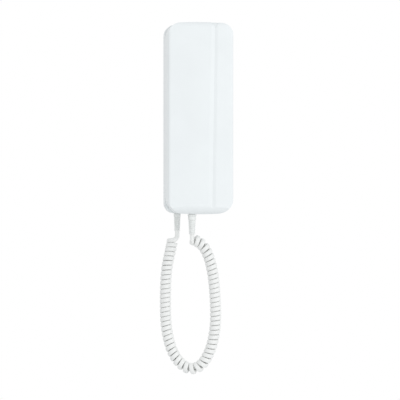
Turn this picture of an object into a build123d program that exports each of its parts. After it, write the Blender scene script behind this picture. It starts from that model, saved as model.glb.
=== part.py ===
from build123d import *
import math
import os

# A wall intercom: a base that screws to the wall, a handset that rests on it, a curly cord between.
# Millimetres. Every piece but the cord is drawn lying on its back on a bench: X across, Y up the
# wall, Z out of the wall. The last lines stand the pieces up, so that Z is up and the front faces -Y.
# The origin is the middle of the face that lies on the wall.

# Body
body_width = 72.0
body_height = 210.0
end_crown = 2.0
base_top_corner = 12.0
base_bottom_corner = 11.0
handset_top_corner = 14.0
handset_bottom_corner = 17.0
shell_wall = 2.2
overrun = 1.0
least_radius_share = 0.25

# Base
base_depth = 19.0
plate_thickness = 2.4
plate_clearance = 0.2

# Handset
seam_gap = 0.4
handset_depth = 30.0
face_bow = 1.2
face_top_rounding = 6.0
face_bottom_rounding = 11.0
face_side_rounding = 3.0
lid_thickness = 2.2
lid_clearance = 0.15
rear_z = base_depth + seam_gap
face_z = rear_z + handset_depth

# Long groove in the handset's face, with a notch where it crosses the top edge
groove_width = 7.6
groove_depth = 0.8
groove_top_x = 15.6
groove_bottom_x = 12.4
notch_width = 9.6
notch_height = 6.4
notch_depth = 1.1
notch_reach = 8.0

# Ear and mouth cups, and the wells in the base that take them
ear_y = 62.0
ear_radius = 21.0
ear_reach = 8.0
mouth_y = -66.0
mouth_radius = 18.0
mouth_reach = 6.0
cup_wall = 2.0
cup_rounding = 1.6
well_wall = 2.0
well_side_clearance = 0.4
well_floor_clearance = 0.6
ear_end_z = rear_z - ear_reach
mouth_end_z = rear_z - mouth_reach
ear_floor_z = ear_end_z - well_floor_clearance
mouth_floor_z = mouth_end_z - well_floor_clearance

# Sound holes
sound_hole_radius = 0.9
sound_ring_spacing = 3.4
ear_hole_rings = 3
mouth_hole_rings = 1
holes_per_ring_step = 6

# Grip recess in the handset's inner shell, between the cups
grip_side_margin = 10.0
grip_width = body_width - 2 * grip_side_margin
grip_top_y = 14.0
grip_bottom_y = -38.0
grip_reach = 4.0
grip_corner = 6.0

# Cradle lug on the base, which slants the way the handset lifts off, and the slot that it enters
lug_width = 16.0
lug_y = 20.0
lug_thickness = 4.0
lug_reach = 6.0
lug_clearance = 0.6

# Wall slots and cable window in the back plate
wall_slot_spacing = 83.5
wall_slot_length = 8.0
wall_slot_width = 4.4
cable_window_width = 24.0
cable_window_height = 12.0
cable_window_y = -54.0

# Countersunk screws of the two shells
screw_radius = 1.45
screw_length = 8.0
screw_head_radius = 2.9
screw_head_height = 1.5
screw_clearance = 0.05
screw_drive_length = 3.0
screw_drive_width = 0.7
screw_drive_depth = 0.8
boss_radius = 3.6
handset_screw_margin = 13.0
handset_screw_y = body_height / 2 - handset_screw_margin

# Pan head screws of the circuit board and the weight
small_screw_radius = 1.1
small_screw_length = 3.6
small_screw_head_radius = 2.3
small_screw_head_height = 1.4

# Circuit board in the base
board_side_gap = 3.8
board_width = body_width - 2 * (shell_wall + board_side_gap)
board_height = 70.0
board_thickness = 1.6
board_z = 6.0
board_post_inset = 4.0
board_post_x = board_width / 2 - board_post_inset
board_post_y = board_height / 2 - board_post_inset
board_post_radius = 3.0
board_top_z = board_z + board_thickness

# Capacitors and chip on the board
capacitor_radius = 3.2
capacitor_height = 8.0
capacitor_inset = 1.8
capacitor_x = capacitor_inset + capacitor_radius - board_width / 2
capacitor_top_y = 12.0
capacitor_pitch = 8.0
capacitor_count = 3
chip_width = 7.0
chip_height = 10.0
chip_thickness = 2.0
chip_x = -10.0
chip_y = -2.0
chip_leg_length = 1.4
chip_leg_width = 0.8
chip_leg_pitch = 2.2
chip_leg_count = 4

# Terminal block and its screws
terminal_width = 20.0
terminal_height = 9.0
terminal_depth = 7.0
terminal_inset = 2.0
terminal_x = terminal_inset + terminal_width / 2 - board_width / 2
terminal_y = -20.0
terminal_count = 4
terminal_screw_radius = 1.8
terminal_screw_height = 2.4
terminal_screw_clearance = 0.1
terminal_mouth_width = 3.0
terminal_mouth_depth = 2.6

# Call speaker behind slots in the base's front
speaker_x = 14.0
speaker_y = 10.0
speaker_radius = 13.6
speaker_frame_depth = 4.4
speaker_rim = 1.2
speaker_back = 1.2
speaker_magnet_radius = 7.5
speaker_clearance = 0.1
cone_depth = 2.2
cone_centre_radius = 4.5
cone_thickness = 0.5
grille_slot_length = 15.0
grille_slot_width = 1.5
grille_slot_pitch = 3.3
grille_slot_count = 5

# Hook plunger, pressed in by the handset, with its switch and spring
hook_post_gap = 9.0
hook_x = hook_post_gap - board_post_x
hook_y = 24.0
hook_travel = 4.0
hook_stem_radius = 2.5
hook_flange_radius = 3.2
hook_flange_thickness = 1.2
hook_pin_radius = 1.3
hook_pin_length = 2.4
hook_press_clearance = 0.3
hook_stop_clearance = 0.4
plunger_clearance = 0.1
hook_switch_width = 12.0
hook_spring_radius = 2.2
hook_spring_wire = 0.5
hook_spring_turns = 3
hook_tip_z = rear_z - hook_press_clearance
hook_flange_top_z = base_depth - shell_wall - hook_stop_clearance - hook_travel
hook_flange_z = hook_flange_top_z - hook_flange_thickness

# Door release button, with its switch and spring
release_y = -22.0
release_travel = 1.5
release_width = 22.0
release_height = 12.0
release_corner = 3.0
release_proud = 2.0
release_edge_rounding = 0.8
release_flange_margin = 2.0
release_flange_thickness = 1.4
release_stop_clearance = 0.2
release_clearance = 0.3
release_post_radius = 2.2
release_post_stop = 0.5
release_switch_width = 11.0
release_switch_height = 3.8
release_spring_radius = 3.4
release_spring_wire = 0.6
release_spring_turns = 6
release_x = 6.0
release_flange_z = base_depth - shell_wall - release_stop_clearance - release_flange_thickness
release_post_end_z = board_top_z + release_post_stop + release_travel
spring_clearance = 0.05

# Call volume slider in the base's right side
volume_y = -12.0
volume_travel = 4.0
volume_z = 10.0
volume_stem_height = 5.0
volume_stem_thickness = 2.4
volume_cap_height = 7.0
volume_cap_thickness = 4.0
volume_cap_proud = 1.2
volume_rib_width = 0.8
volume_rib_count = 3
volume_clearance = 0.3
volume_switch_width = 6.0
volume_switch_length = 16.0
volume_switch_margin = 1.4
volume_channel_depth = 2.0

# Receiver in the ear cup
gasket_thickness = 1.6
gasket_width = 3.6
capsule_clearance = 0.5
capsule_depth = 6.0
capsule_rim = 2.0
capsule_chamber = 3.0
diaphragm_thickness = 0.4
diaphragm_setback = 1.0
receiver_magnet_radius = 9.0
receiver_magnet_thickness = 5.0
receiver_clearance = 0.05

# Microphone in the mouth cup
microphone_radius = 4.85
microphone_depth = 5.0
microphone_boot_wall = 2.2
microphone_boot_depth = 6.0
microphone_setback = 0.5
microphone_collar_wall = 1.4
microphone_collar_depth = 3.0

# Weight in the handset
weight_width = 30.0
weight_height = 50.0
weight_thickness = 5.0
weight_corner = 2.0
weight_z = rear_z + 15.6
weight_screw_y = 17.0
weight_screw_reach = 8.6

# Cord reliefs
relief_neck_radius = 3.3
relief_flange_radius = 4.6
relief_flange_thickness = 1.5
relief_hole_clearance = 0.1
relief_seat_clearance = 0.2
relief_rib_pitch = 2.15
relief_groove_width = 0.8
relief_groove_depth = 0.7
relief_rib_count = 7
relief_collar_radius = 4.7
relief_collar_height = 1.6
base_relief_side_margin = 14.0
base_relief_x = base_relief_side_margin - body_width / 2
base_relief_z = 12.0
base_relief_length = 18.6
base_relief_root_radius = 3.8
base_relief_tip_radius = 3.2
handset_relief_x = -8.3
handset_relief_z = 36.0
handset_relief_length = 20.0
handset_relief_root_radius = 4.3
handset_relief_tip_radius = 3.4

# Leads inside the two shells
lead_radius = 0.7
lead_spread = 1.2
lead_bend = 1.6
lead_clearance = 0.05

# Curly cord. Its axis is the smooth curve that these hand set corners pull, standing, from the base
# to the handset.
cord_diameter = 4.1
coil_radius = 4.15
coil_pitch = 5.05
coil_spread = 25.0
coil_first_turn_share = 15 / 360
coil_last_turn_share = 105 / 360
axis_steps = 24
biarcs_per_turn = 2
gap_points_per_arc = 6
cord_corners = [
    (-27.0, -9.5, -134.5),
    (-29.8, -11.5, -147.0),
    (-33.4, -13.3, -162.0),
    (-35.0, -14.5, -179.0),
    (-35.4, -15.5, -197.0),
    (-35.5, -16.5, -215.0),
    (-34.4, -18.0, -233.0),
    (-30.6, -20.0, -250.5),
    (-25.2, -21.8, -262.2),
    (-19.0, -23.0, -269.8),
    (-12.6, -24.2, -274.2),
    (-6.0, -25.4, -275.2),
    (0.4, -26.4, -273.0),
    (5.7, -27.3, -268.0),
    (10.4, -28.2, -260.0),
    (14.5, -29.2, -249.4),
    (17.3, -30.3, -236.0),
    (18.6, -31.0, -220.0),
    (18.2, -31.5, -203.0),
    (17.1, -31.8, -186.0),
    (15.3, -32.0, -170.0),
    (12.3, -32.0, -156.0),
    (7.6, -31.8, -144.0),
    (1.8, -31.3, -136.5),
    (-5.5, -31.0, -133.0),
]

front_z = base_depth - shell_wall
down = Vector(0, 0, -1)
frontwards = Vector(0, -1, 0)


def disc(radius, thickness, x, y, z):
    """A round solid with its back face at z."""
    return Pos(x, y, z) * Cylinder(radius, thickness, align=(Align.CENTER, Align.CENTER, Align.MIN))


def block(width, height, thickness, x, y, z, corner=0):
    """A rectangular solid centred on x and y, with its back face at z."""
    face = RectangleRounded(width, height, corner) if corner else Rectangle(width, height)
    return Pos(x, y, z) * extrude(face, thickness)


def cone(back_radius, front_radius, thickness, x, y, z):
    """A solid that widens or narrows from its back face at z."""
    shape = Cone(back_radius, front_radius, thickness, align=(Align.CENTER, Align.CENTER, Align.MIN))
    return Pos(x, y, z) * shape


def group(pieces):
    """Separate solids that share one node."""
    return Compound([solid for piece in pieces for solid in piece.solids()])


def inner_radius(radius, inset):
    """A rounding's radius on a surface that lies an inset further in."""
    return max(radius - inset, radius * least_radius_share)


def end_arc_sag(x):
    """How far the arched top or bottom edge falls away at x."""
    half = body_width / 2
    radius = (half ** 2 + end_crown ** 2) / (2 * end_crown)
    return radius - math.sqrt(radius ** 2 - x ** 2)


def body_outline(inset, top_corner, bottom_corner):
    """The outline of the base or the handset from the front, an inset further in."""
    half = body_width / 2 - inset
    top = body_height / 2 - inset
    shoulder = top - end_crown
    edges = [
        ThreePointArc((-half, shoulder), (0, top), (half, shoulder)),
        Line((half, shoulder), (half, -shoulder)),
        ThreePointArc((half, -shoulder), (0, -top), (-half, -shoulder)),
        Line((-half, -shoulder), (-half, shoulder)),
    ]
    face = make_face(edges)
    upper = [v for v in face.vertices() if v.Y > 0]
    face = fillet(upper, inner_radius(top_corner, inset))
    lower = [v for v in face.vertices() if v.Y < -shoulder / 2]
    lower = [v for v in lower if abs(v.X) > half / 2]
    return fillet(lower, inner_radius(bottom_corner, inset))


def base_outline(inset):
    """The base's outline from the front."""
    return body_outline(inset, base_top_corner, base_bottom_corner)


def handset_outline(inset):
    """The handset's outline from the front, with rounder corners than the base's."""
    return body_outline(inset, handset_top_corner, handset_bottom_corner)


def side_profile(inset, back_z):
    """The handset from the side, with its top and bottom front edges rounded."""
    half = body_height / 2 + overrun
    front = face_z - inset
    face = make_face(Polyline((-half, back_z), (half, back_z), (half, front), (-half, front), close=True))
    end = body_height / 2 - inset
    top_cut = Pos(end, front) * corner_cut(inner_radius(face_top_rounding, inset), half - end)
    bottom_cut = Pos(-end, front) * mirror(
        corner_cut(inner_radius(face_bottom_rounding, inset), half - end), about=Plane.YZ
    )
    return face - top_cut - bottom_cut


def corner_cut(radius, margin):
    """What a rounding takes off a corner that lies at the origin, with the margin outside it."""
    square = Pos((margin - radius) / 2, (margin - radius) / 2) * Rectangle(radius + margin, radius + margin)
    return square - Pos(-radius, -radius) * Circle(radius)


def top_profile(inset, back_z):
    """The handset from above: straight sides, rounded front edges and a slightly bowed face."""
    half = body_width / 2 - inset
    front = face_z - inset
    shoulder = front - face_bow
    edges = [
        Line((half, back_z), (half, shoulder)),
        ThreePointArc((half, shoulder), (0, front), (-half, shoulder)),
        Line((-half, shoulder), (-half, back_z)),
        Line((-half, back_z), (half, back_z)),
    ]
    face = make_face(edges)
    corners = [v for v in face.vertices() if v.Y > (back_z + front) / 2]
    return fillet(corners, inner_radius(face_side_rounding, inset))


def handset_form(inset, back_z):
    """The handset's outer form, an inset further in, from back_z to its face."""
    from_front = Pos(0, 0, back_z) * extrude(handset_outline(inset), face_z - back_z)
    from_side = extrude(Plane.YZ * side_profile(inset, back_z), body_width / 2, both=True)
    from_top = extrude(Plane.XZ * top_profile(inset, back_z), body_height / 2, both=True)
    return from_front & from_side & from_top


def face_groove():
    """The cutter of the shallow V groove that runs the length of the face, a little aslant."""
    half_length = body_height / 2
    middle_x = (groove_top_x + groove_bottom_x) / 2
    surface = face_z - face_bow * (middle_x / (body_width / 2)) ** 2
    spread = groove_width / 2 * (groove_depth + overrun) / groove_depth
    points = [(-spread, surface + overrun), (spread, surface + overrun), (0, surface - groove_depth)]
    vee = make_face(Polyline(*points, close=True))
    run = Vector(groove_top_x - groove_bottom_x, 2 * half_length, 0)
    start = Pos(groove_bottom_x, -half_length, 0) * (Plane.XZ * vee)
    return extrude(start, run.length, dir=run.normalized())


def face_notch():
    """The cutter of the small notch where the groove crosses the top edge."""
    half = notch_width / 2
    points = [(-half, 0), (-half, overrun), (half, overrun), (half, 0), (0, -notch_height)]
    wedge = extrude(make_face(Polyline(*points, close=True)), notch_reach)
    wedge = Pos(groove_top_x, body_height / 2, face_z - notch_reach) * wedge
    return wedge - handset_form(notch_depth, rear_z)


def lift_space(radius, y, floor_z, thickness):
    """The upright space that a round cup needs to leave the base upwards and outwards."""
    rise = base_depth - floor_z
    slot = SlotCenterToCenter(rise, 2 * radius, rotation=90)
    return Pos(0, y + rise / 2, floor_z) * extrude(slot, thickness)


def slanted_bar(width, y, thickness, back_z, front_z_end):
    """A bar that leans the way the handset lifts off. Its y is taken where it leaves the base."""
    low = back_z - base_depth
    high = front_z_end - base_depth
    points = [
        (y + low, back_z),
        (y + high, front_z_end),
        (y + high + thickness, front_z_end),
        (y + low + thickness, back_z),
    ]
    return extrude(Plane.YZ * make_face(Polyline(*points, close=True)), width / 2, both=True)


def drive_cut(x, y, z):
    """The cross recess of a screw, cut down from z."""
    depth = screw_drive_depth
    across = block(screw_drive_length, screw_drive_width, depth, x, y, z - depth)
    upright = block(screw_drive_width, screw_drive_length, depth, x, y, z - depth)
    return across + upright


def countersunk(x, y, z, growth):
    """A countersunk screw that points into the wall, with its flat head at z, grown all round."""
    head_z = z - screw_head_height
    head = cone(screw_radius + growth, screw_head_radius + growth, screw_head_height, x, y, head_z)
    shank = disc(screw_radius + growth, screw_length + growth, x, y, z - screw_length - growth)
    return head + shank


def pan_screw(x, y, z, length, growth):
    """A pan head screw that points into the wall, with its head standing on z, grown all round."""
    head = disc(small_screw_head_radius + growth, small_screw_head_height, x, y, z)
    shank = disc(small_screw_radius + growth, length + growth, x, y, z - length - growth)
    return head + shank


def turned_outwards(shape, z):
    """A piece drawn pointing into the wall, turned about the plane at z to point out of it."""
    return Pos(0, 0, z) * Rot(180, 0, 0) * Pos(0, 0, -z) * shape


def housing_screw_places():
    """Where the two screws of the base's shells have their heads: on the floors of the wells."""
    return [(ear_y, ear_floor_z), (mouth_y, mouth_floor_z)]


def board_post_places():
    """The four posts that carry the circuit board."""
    return [(x, y) for x in (-board_post_x, board_post_x) for y in (-board_post_y, board_post_y)]


def sound_holes(x, y, z, thickness, rings):
    """Round holes in rings about a middle one."""
    holes = disc(sound_hole_radius, thickness, x, y, z)
    for ring in range(1, rings + 1):
        count = ring * holes_per_ring_step
        for k in range(count):
            angle = 2 * math.pi * k / count
            reach = ring * sound_ring_spacing
            holes += disc(
                sound_hole_radius, thickness, x + reach * math.cos(angle), y + reach * math.sin(angle), z
            )
    return holes


def relief_hole(x, z):
    """The hole in the bottom wall that a cord relief's neck passes through."""
    radius = relief_neck_radius + relief_hole_clearance
    hole = Cylinder(radius, 2 * (shell_wall + end_crown + base_bottom_corner))
    return Pos(x, -body_height / 2, z) * Rot(90, 0, 0) * hole


def base_back_plate():
    """The plate that screws to the wall, with posts for the board and bosses for the shell screws."""
    plate = extrude(base_outline(shell_wall + plate_clearance), plate_thickness)
    for x, y in board_post_places():
        plate += disc(board_post_radius, board_z, x, y, 0)
        plate -= pan_screw(x, y, board_top_z, small_screw_length, screw_clearance)
    for y, floor_z in housing_screw_places():
        plate += disc(boss_radius, floor_z - well_wall, 0, y, 0)
        plate -= countersunk(0, y, floor_z, screw_clearance)
    slot = SlotOverall(wall_slot_length, wall_slot_width, rotation=90)
    for side in (-1, 1):
        y = side * wall_slot_spacing / 2
        plate -= Pos(0, y, -overrun) * extrude(slot, plate_thickness + 2 * overrun)
    window = block(
        cable_window_width, cable_window_height, plate_thickness + 2 * overrun, 0, cable_window_y, -overrun
    )
    return plate - window


def grille_slots():
    """The slots in front of the call speaker."""
    slots = None
    for k in range(grille_slot_count):
        y = speaker_y + (k - (grille_slot_count - 1) / 2) * grille_slot_pitch
        slot = Pos(speaker_x, y, front_z - overrun) * extrude(
            SlotOverall(grille_slot_length, grille_slot_width), shell_wall + 2 * overrun
        )
        slots = slot if slots is None else slots + slot
    return slots


def base_housing():
    """The base's front shell, with the two wells, the cradle lug and the openings."""
    shell = extrude(base_outline(0), base_depth)
    shell -= Pos(0, 0, -overrun) * extrude(base_outline(shell_wall), front_z + overrun)
    wells = [(ear_radius, ear_y, ear_floor_z), (mouth_radius, mouth_y, mouth_floor_z)]
    for radius, y, floor_z in wells:
        inside = radius + well_side_clearance
        back_z = floor_z - well_wall
        tub = Pos(0, 0, -well_wall) * lift_space(inside + well_wall, y, floor_z, base_depth - back_z)
        shell += tub
        shell -= lift_space(inside, y, floor_z, base_depth - floor_z + overrun)
    shell += slanted_bar(lug_width, lug_y, lug_thickness, front_z, base_depth + lug_reach)
    for y, floor_z in housing_screw_places():
        shell -= countersunk(0, y, floor_z, screw_clearance)
    cut = shell_wall + 2 * overrun
    shell -= disc(hook_stem_radius + plunger_clearance, cut, hook_x, hook_y, front_z - overrun)
    shell -= block(
        release_width + 2 * release_clearance,
        release_height + 2 * release_clearance,
        cut,
        release_x,
        release_y,
        front_z - overrun,
        release_corner + release_clearance,
    )
    shell -= grille_slots()
    slot_height = volume_stem_height + 2 * (volume_travel + volume_clearance)
    slot_thickness = volume_stem_thickness + 2 * volume_clearance
    shell -= block(
        cut,
        slot_height,
        slot_thickness,
        body_width / 2 - shell_wall / 2,
        volume_y,
        volume_z - slot_thickness / 2,
    )
    return shell - relief_hole(base_relief_x, base_relief_z)


def housing_screws():
    """The two screws that hold the base's front shell to its back plate."""
    screws = []
    for y, floor_z in housing_screw_places():
        screws.append(countersunk(0, y, floor_z, 0) - drive_cut(0, y, floor_z))
    return group(screws)


def base_circuit_board():
    """The circuit board on its four posts."""
    board = block(board_width, board_height, board_thickness, 0, 0, board_z)
    for x, y in board_post_places():
        board -= disc(small_screw_radius + screw_clearance, board_thickness, x, y, board_z)
    return board


def board_screws():
    """The four screws of the circuit board."""
    screws = []
    for x, y in board_post_places():
        screw = pan_screw(x, y, board_top_z, small_screw_length, 0)
        screws.append(screw - drive_cut(x, y, board_top_z + small_screw_head_height))
    return group(screws)


def board_capacitors():
    """A row of round capacitors on the board."""
    row = []
    for k in range(capacitor_count):
        y = capacitor_top_y - k * capacitor_pitch
        row.append(disc(capacitor_radius, capacitor_height, capacitor_x, y, board_top_z))
    return group(row)


def board_chip():
    """The chip on the board, with a row of legs on each side."""
    chip = block(chip_width, chip_height, chip_thickness, chip_x, chip_y, board_top_z)
    for side in (-1, 1):
        for k in range(chip_leg_count):
            y = chip_y + (k - (chip_leg_count - 1) / 2) * chip_leg_pitch
            x = chip_x + side * (chip_width + chip_leg_length) / 2
            chip += block(chip_leg_length, chip_leg_width, chip_thickness / 2, x, y, board_top_z)
    return chip


def terminal_places():
    """The middle of each terminal across the block."""
    pitch = terminal_width / terminal_count
    return [terminal_x + (k - (terminal_count - 1) / 2) * pitch for k in range(terminal_count)]


def terminal_block():
    """The block that takes the wires from the wall, with a mouth and a screw well for each."""
    body = block(terminal_width, terminal_height, terminal_depth, terminal_x, terminal_y, board_top_z)
    top_z = board_top_z + terminal_depth
    for x in terminal_places():
        radius = terminal_screw_radius + terminal_screw_clearance
        body -= disc(radius, terminal_screw_height, x, terminal_y, top_z - terminal_screw_height)
        body -= block(
            terminal_mouth_width,
            terminal_height / 2,
            terminal_mouth_depth,
            x,
            terminal_y - terminal_height / 2,
            board_top_z + terminal_mouth_depth / 2,
        )
    return body


def terminal_screws():
    """The clamping screws of the terminal block."""
    screws = []
    top_z = board_top_z + terminal_depth
    head = terminal_screw_height
    depth = screw_drive_depth
    for x in terminal_places():
        screw = disc(terminal_screw_radius, head, x, terminal_y, top_z - head)
        slot = block(2 * terminal_screw_radius, screw_drive_width, depth, x, terminal_y, top_z - depth)
        screws.append(screw - slot)
    return group(screws)


def call_speaker_frame():
    """The frame of the call speaker, open in front."""
    z = front_z - speaker_frame_depth
    frame = disc(speaker_radius, speaker_frame_depth, speaker_x, speaker_y, z)
    hollow = disc(speaker_radius - speaker_rim, speaker_frame_depth, speaker_x, speaker_y, z + speaker_back)
    return frame - hollow


def call_speaker_cone():
    """The paper cone, seated on the frame's back."""
    z = front_z - speaker_frame_depth + speaker_back
    rim = speaker_radius - speaker_rim - speaker_clearance
    outer = cone(cone_centre_radius, rim, cone_depth, speaker_x, speaker_y, z)
    inner = cone(cone_centre_radius, rim, cone_depth, speaker_x, speaker_y, z + cone_thickness)
    return outer - inner


def call_speaker_magnet():
    """The magnet between the speaker's frame and the board."""
    thickness = front_z - speaker_frame_depth - board_top_z
    return disc(speaker_magnet_radius, thickness, speaker_x, speaker_y, board_top_z)


def spring(x, y, back_z, front_end_z, radius, wire, turns):
    """A compression spring between two faces."""
    start_z = back_z + wire / 2 + spring_clearance
    height = front_end_z - back_z - wire - 2 * spring_clearance
    pitch = height / turns
    slope = pitch / (2 * math.pi * radius)
    stations = []
    for k in range(turns * biarcs_per_turn + 1):
        angle = 2 * math.pi * k / biarcs_per_turn
        out = Vector(math.cos(angle), math.sin(angle), 0) * radius
        place = Vector(x, y, start_z + pitch * k / biarcs_per_turn) + out
        stations.append((place, Vector(-math.sin(angle), math.cos(angle), slope).normalized()))
    return wound_tube(biarcs(stations), wire)


def hook_switch_body():
    """The hook switch on the board, with the bore that the plunger's flange runs in."""
    depth = hook_flange_top_z - board_top_z
    body = block(hook_switch_width, hook_switch_width, depth, hook_x, hook_y, board_top_z)
    return body - disc(hook_flange_radius + plunger_clearance, depth, hook_x, hook_y, board_top_z)


def hook_plunger():
    """The plunger that the resting handset holds in."""
    flange = disc(hook_flange_radius, hook_flange_thickness, hook_x, hook_y, hook_flange_z)
    stem = disc(hook_stem_radius, hook_tip_z - hook_flange_z, hook_x, hook_y, hook_flange_z)
    pin = disc(hook_pin_radius, hook_pin_length, hook_x, hook_y, hook_flange_z - hook_pin_length)
    tip = stem.edges().sort_by(Axis.Z)[-1]
    return flange + fillet(tip, hook_stem_radius / 2) + pin


def hook_spring():
    """The spring that pushes the hook plunger out."""
    return spring(
        hook_x, hook_y, board_top_z, hook_flange_z, hook_spring_radius, hook_spring_wire, hook_spring_turns
    )


def release_switch_body():
    """The door release switch on the board, open for the button's post and spring."""
    body = block(
        release_switch_width, release_switch_width, release_switch_height, release_x, release_y, board_top_z
    )
    bore = release_spring_radius + release_spring_wire / 2 + release_clearance
    return body - disc(bore, release_switch_height, release_x, release_y, board_top_z)


def door_release_button():
    """The button that opens the door, with a flange that stops it behind the base's front."""
    flange = block(
        release_width + 2 * release_flange_margin,
        release_height + 2 * release_flange_margin,
        release_flange_thickness,
        release_x,
        release_y,
        release_flange_z,
        release_corner,
    )
    cap_depth = base_depth + release_proud - release_flange_z
    cap = block(
        release_width, release_height, cap_depth, release_x, release_y, release_flange_z, release_corner
    )
    cap = fillet(cap.faces().sort_by(Axis.Z)[-1].edges(), release_edge_rounding)
    post_length = release_flange_z - release_post_end_z
    post = disc(release_post_radius, post_length, release_x, release_y, release_post_end_z)
    return flange + cap + post


def release_spring():
    """The spring that returns the door release button."""
    return spring(
        release_x,
        release_y,
        board_top_z,
        release_flange_z,
        release_spring_radius,
        release_spring_wire,
        release_spring_turns,
    )


def volume_switch_x():
    """The middle of the volume switch, at the board's right edge."""
    return board_width / 2 - volume_switch_width / 2


def volume_switch_body():
    """The slide switch on the board's edge, with a channel for the slider's foot."""
    depth = volume_z + volume_stem_thickness / 2 + volume_clearance + volume_switch_margin - board_top_z
    body = block(
        volume_switch_width, volume_switch_length, depth, volume_switch_x(), volume_y, board_top_z
    )
    channel_thickness = volume_stem_thickness + 2 * volume_clearance
    channel = block(
        2 * volume_channel_depth,
        volume_switch_length,
        channel_thickness,
        board_width / 2,
        volume_y,
        volume_z - channel_thickness / 2,
    )
    return body - channel


def volume_slider():
    """The slider that sets the call volume: a stem through the base's side, and a ribbed cap."""
    foot_x = board_width / 2 - volume_channel_depth + volume_clearance
    cap_x = body_width / 2 + volume_clearance
    end_x = cap_x + volume_cap_proud
    stem = block(
        end_x - foot_x,
        volume_stem_height,
        volume_stem_thickness,
        (end_x + foot_x) / 2,
        volume_y,
        volume_z - volume_stem_thickness / 2,
    )
    cap = block(
        volume_cap_proud,
        volume_cap_height,
        volume_cap_thickness,
        cap_x + volume_cap_proud / 2,
        volume_y,
        volume_z - volume_cap_thickness / 2,
    )
    slider = stem + cap
    for k in range(volume_rib_count):
        y = volume_y + (k - (volume_rib_count - 1) / 2) * 2 * volume_rib_width
        slider += block(
            volume_rib_width,
            volume_rib_width,
            volume_cap_thickness,
            end_x + volume_rib_width / 2,
            y,
            volume_z - volume_cap_thickness / 2,
        )
    return slider


def handset_outer_shell():
    """The handset's front shell, with bosses for the shell screws and posts for the weight."""
    shell = handset_form(0, rear_z) - handset_form(shell_wall, rear_z - overrun)
    lid_front = rear_z + lid_thickness
    limits = handset_form(shell_wall / 2, rear_z)
    for side in (-1, 1):
        boss = disc(boss_radius, face_z - lid_front, 0, side * handset_screw_y, lid_front)
        shell += boss & limits
        post_z = weight_z + weight_thickness
        post = disc(board_post_radius, face_z - post_z, 0, side * weight_screw_y, post_z)
        shell += post & limits
    for screw in handset_screw_solids(screw_clearance) + weight_screw_solids(screw_clearance):
        shell -= screw
    shell -= face_groove()
    shell -= face_notch()
    return shell - relief_hole(handset_relief_x, handset_relief_z)


def handset_screw_solids(growth):
    """The two screws that hold the handset's shells together, heads at its rear face."""
    solids = []
    for side in (-1, 1):
        screw = countersunk(0, -side * handset_screw_y, rear_z, growth)
        solids.append(turned_outwards(screw, rear_z))
    return solids


def weight_screw_solids(growth):
    """The two screws that hold the weight to its posts."""
    solids = []
    for side in (-1, 1):
        screw = pan_screw(0, -side * weight_screw_y, weight_z, weight_screw_reach, growth)
        solids.append(turned_outwards(screw, weight_z))
    return solids


def cup(radius, y, end_z):
    """The outside of an ear or mouth cup, with its end edge rounded."""
    solid = disc(radius, rear_z + lid_thickness - end_z, 0, y, end_z)
    edge = solid.edges().filter_by(GeomType.CIRCLE).sort_by(Axis.Z)[0]
    return fillet(edge, cup_rounding)


def handset_inner_shell():
    """The handset's rear shell, with the ear and mouth cups, the grip recess and the lug's slot."""
    front = rear_z + lid_thickness
    lid = Pos(0, 0, rear_z) * extrude(handset_outline(shell_wall + lid_clearance), lid_thickness)
    grip_height = grip_top_y - grip_bottom_y
    grip_y = (grip_top_y + grip_bottom_y) / 2
    lid += block(
        grip_width + 2 * lid_thickness,
        grip_height + 2 * lid_thickness,
        grip_reach + lid_thickness,
        0,
        grip_y,
        rear_z,
        grip_corner + lid_thickness,
    )
    lid -= block(grip_width, grip_height, grip_reach + overrun, 0, grip_y, rear_z - overrun, grip_corner)
    for radius, y, end_z in ((ear_radius, ear_y, ear_end_z), (mouth_radius, mouth_y, mouth_end_z)):
        lid += cup(radius, y, end_z)
        lid -= disc(radius - cup_wall, front - end_z + overrun, 0, y, end_z + cup_wall)
    floor_z = mouth_end_z + cup_wall
    bore = microphone_radius + microphone_boot_wall + receiver_clearance
    collar = disc(bore + microphone_collar_wall, microphone_collar_depth, 0, mouth_y, floor_z)
    lid += collar - disc(bore, microphone_collar_depth, 0, mouth_y, floor_z)
    lid -= sound_holes(0, ear_y, ear_end_z - overrun, cup_wall + 2 * overrun, ear_hole_rings)
    lid -= sound_holes(0, mouth_y, mouth_end_z - overrun, cup_wall + 2 * overrun, mouth_hole_rings)
    lid -= slanted_bar(
        lug_width + 2 * lug_clearance,
        lug_y - lug_clearance,
        lug_thickness + 2 * lug_clearance,
        base_depth,
        front + overrun,
    )
    for screw in handset_screw_solids(screw_clearance):
        lid -= screw
    return lid


def handset_screws():
    """The screws of the handset's shells, with their cross recesses."""
    screws = []
    for side in (-1, 1):
        y = -side * handset_screw_y
        screw = countersunk(0, y, rear_z, 0) - drive_cut(0, y, rear_z)
        screws.append(turned_outwards(screw, rear_z))
    return group(screws)


def receiver_gasket():
    """The foam ring between the ear cup's floor and the receiver."""
    z = ear_end_z + cup_wall
    outside = ear_radius - cup_wall - capsule_clearance
    opening = disc(outside - gasket_width, gasket_thickness, 0, ear_y, z)
    return disc(outside, gasket_thickness, 0, ear_y, z) - opening


def receiver_capsule():
    """The receiver's body: a chamber in front and a bore for the magnet behind."""
    z = ear_end_z + cup_wall + gasket_thickness
    outside = ear_radius - cup_wall - capsule_clearance
    body = disc(outside, capsule_depth, 0, ear_y, z)
    body -= disc(outside - capsule_rim, capsule_chamber, 0, ear_y, z)
    return body - disc(receiver_magnet_radius + receiver_clearance, capsule_depth, 0, ear_y, z)


def receiver_diaphragm():
    """The thin disc that makes the sound, held by its edge in the chamber."""
    z = ear_end_z + cup_wall + gasket_thickness + diaphragm_setback
    radius = ear_radius - cup_wall - capsule_clearance - capsule_rim - receiver_clearance
    return disc(radius, diaphragm_thickness, 0, ear_y, z)


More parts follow.
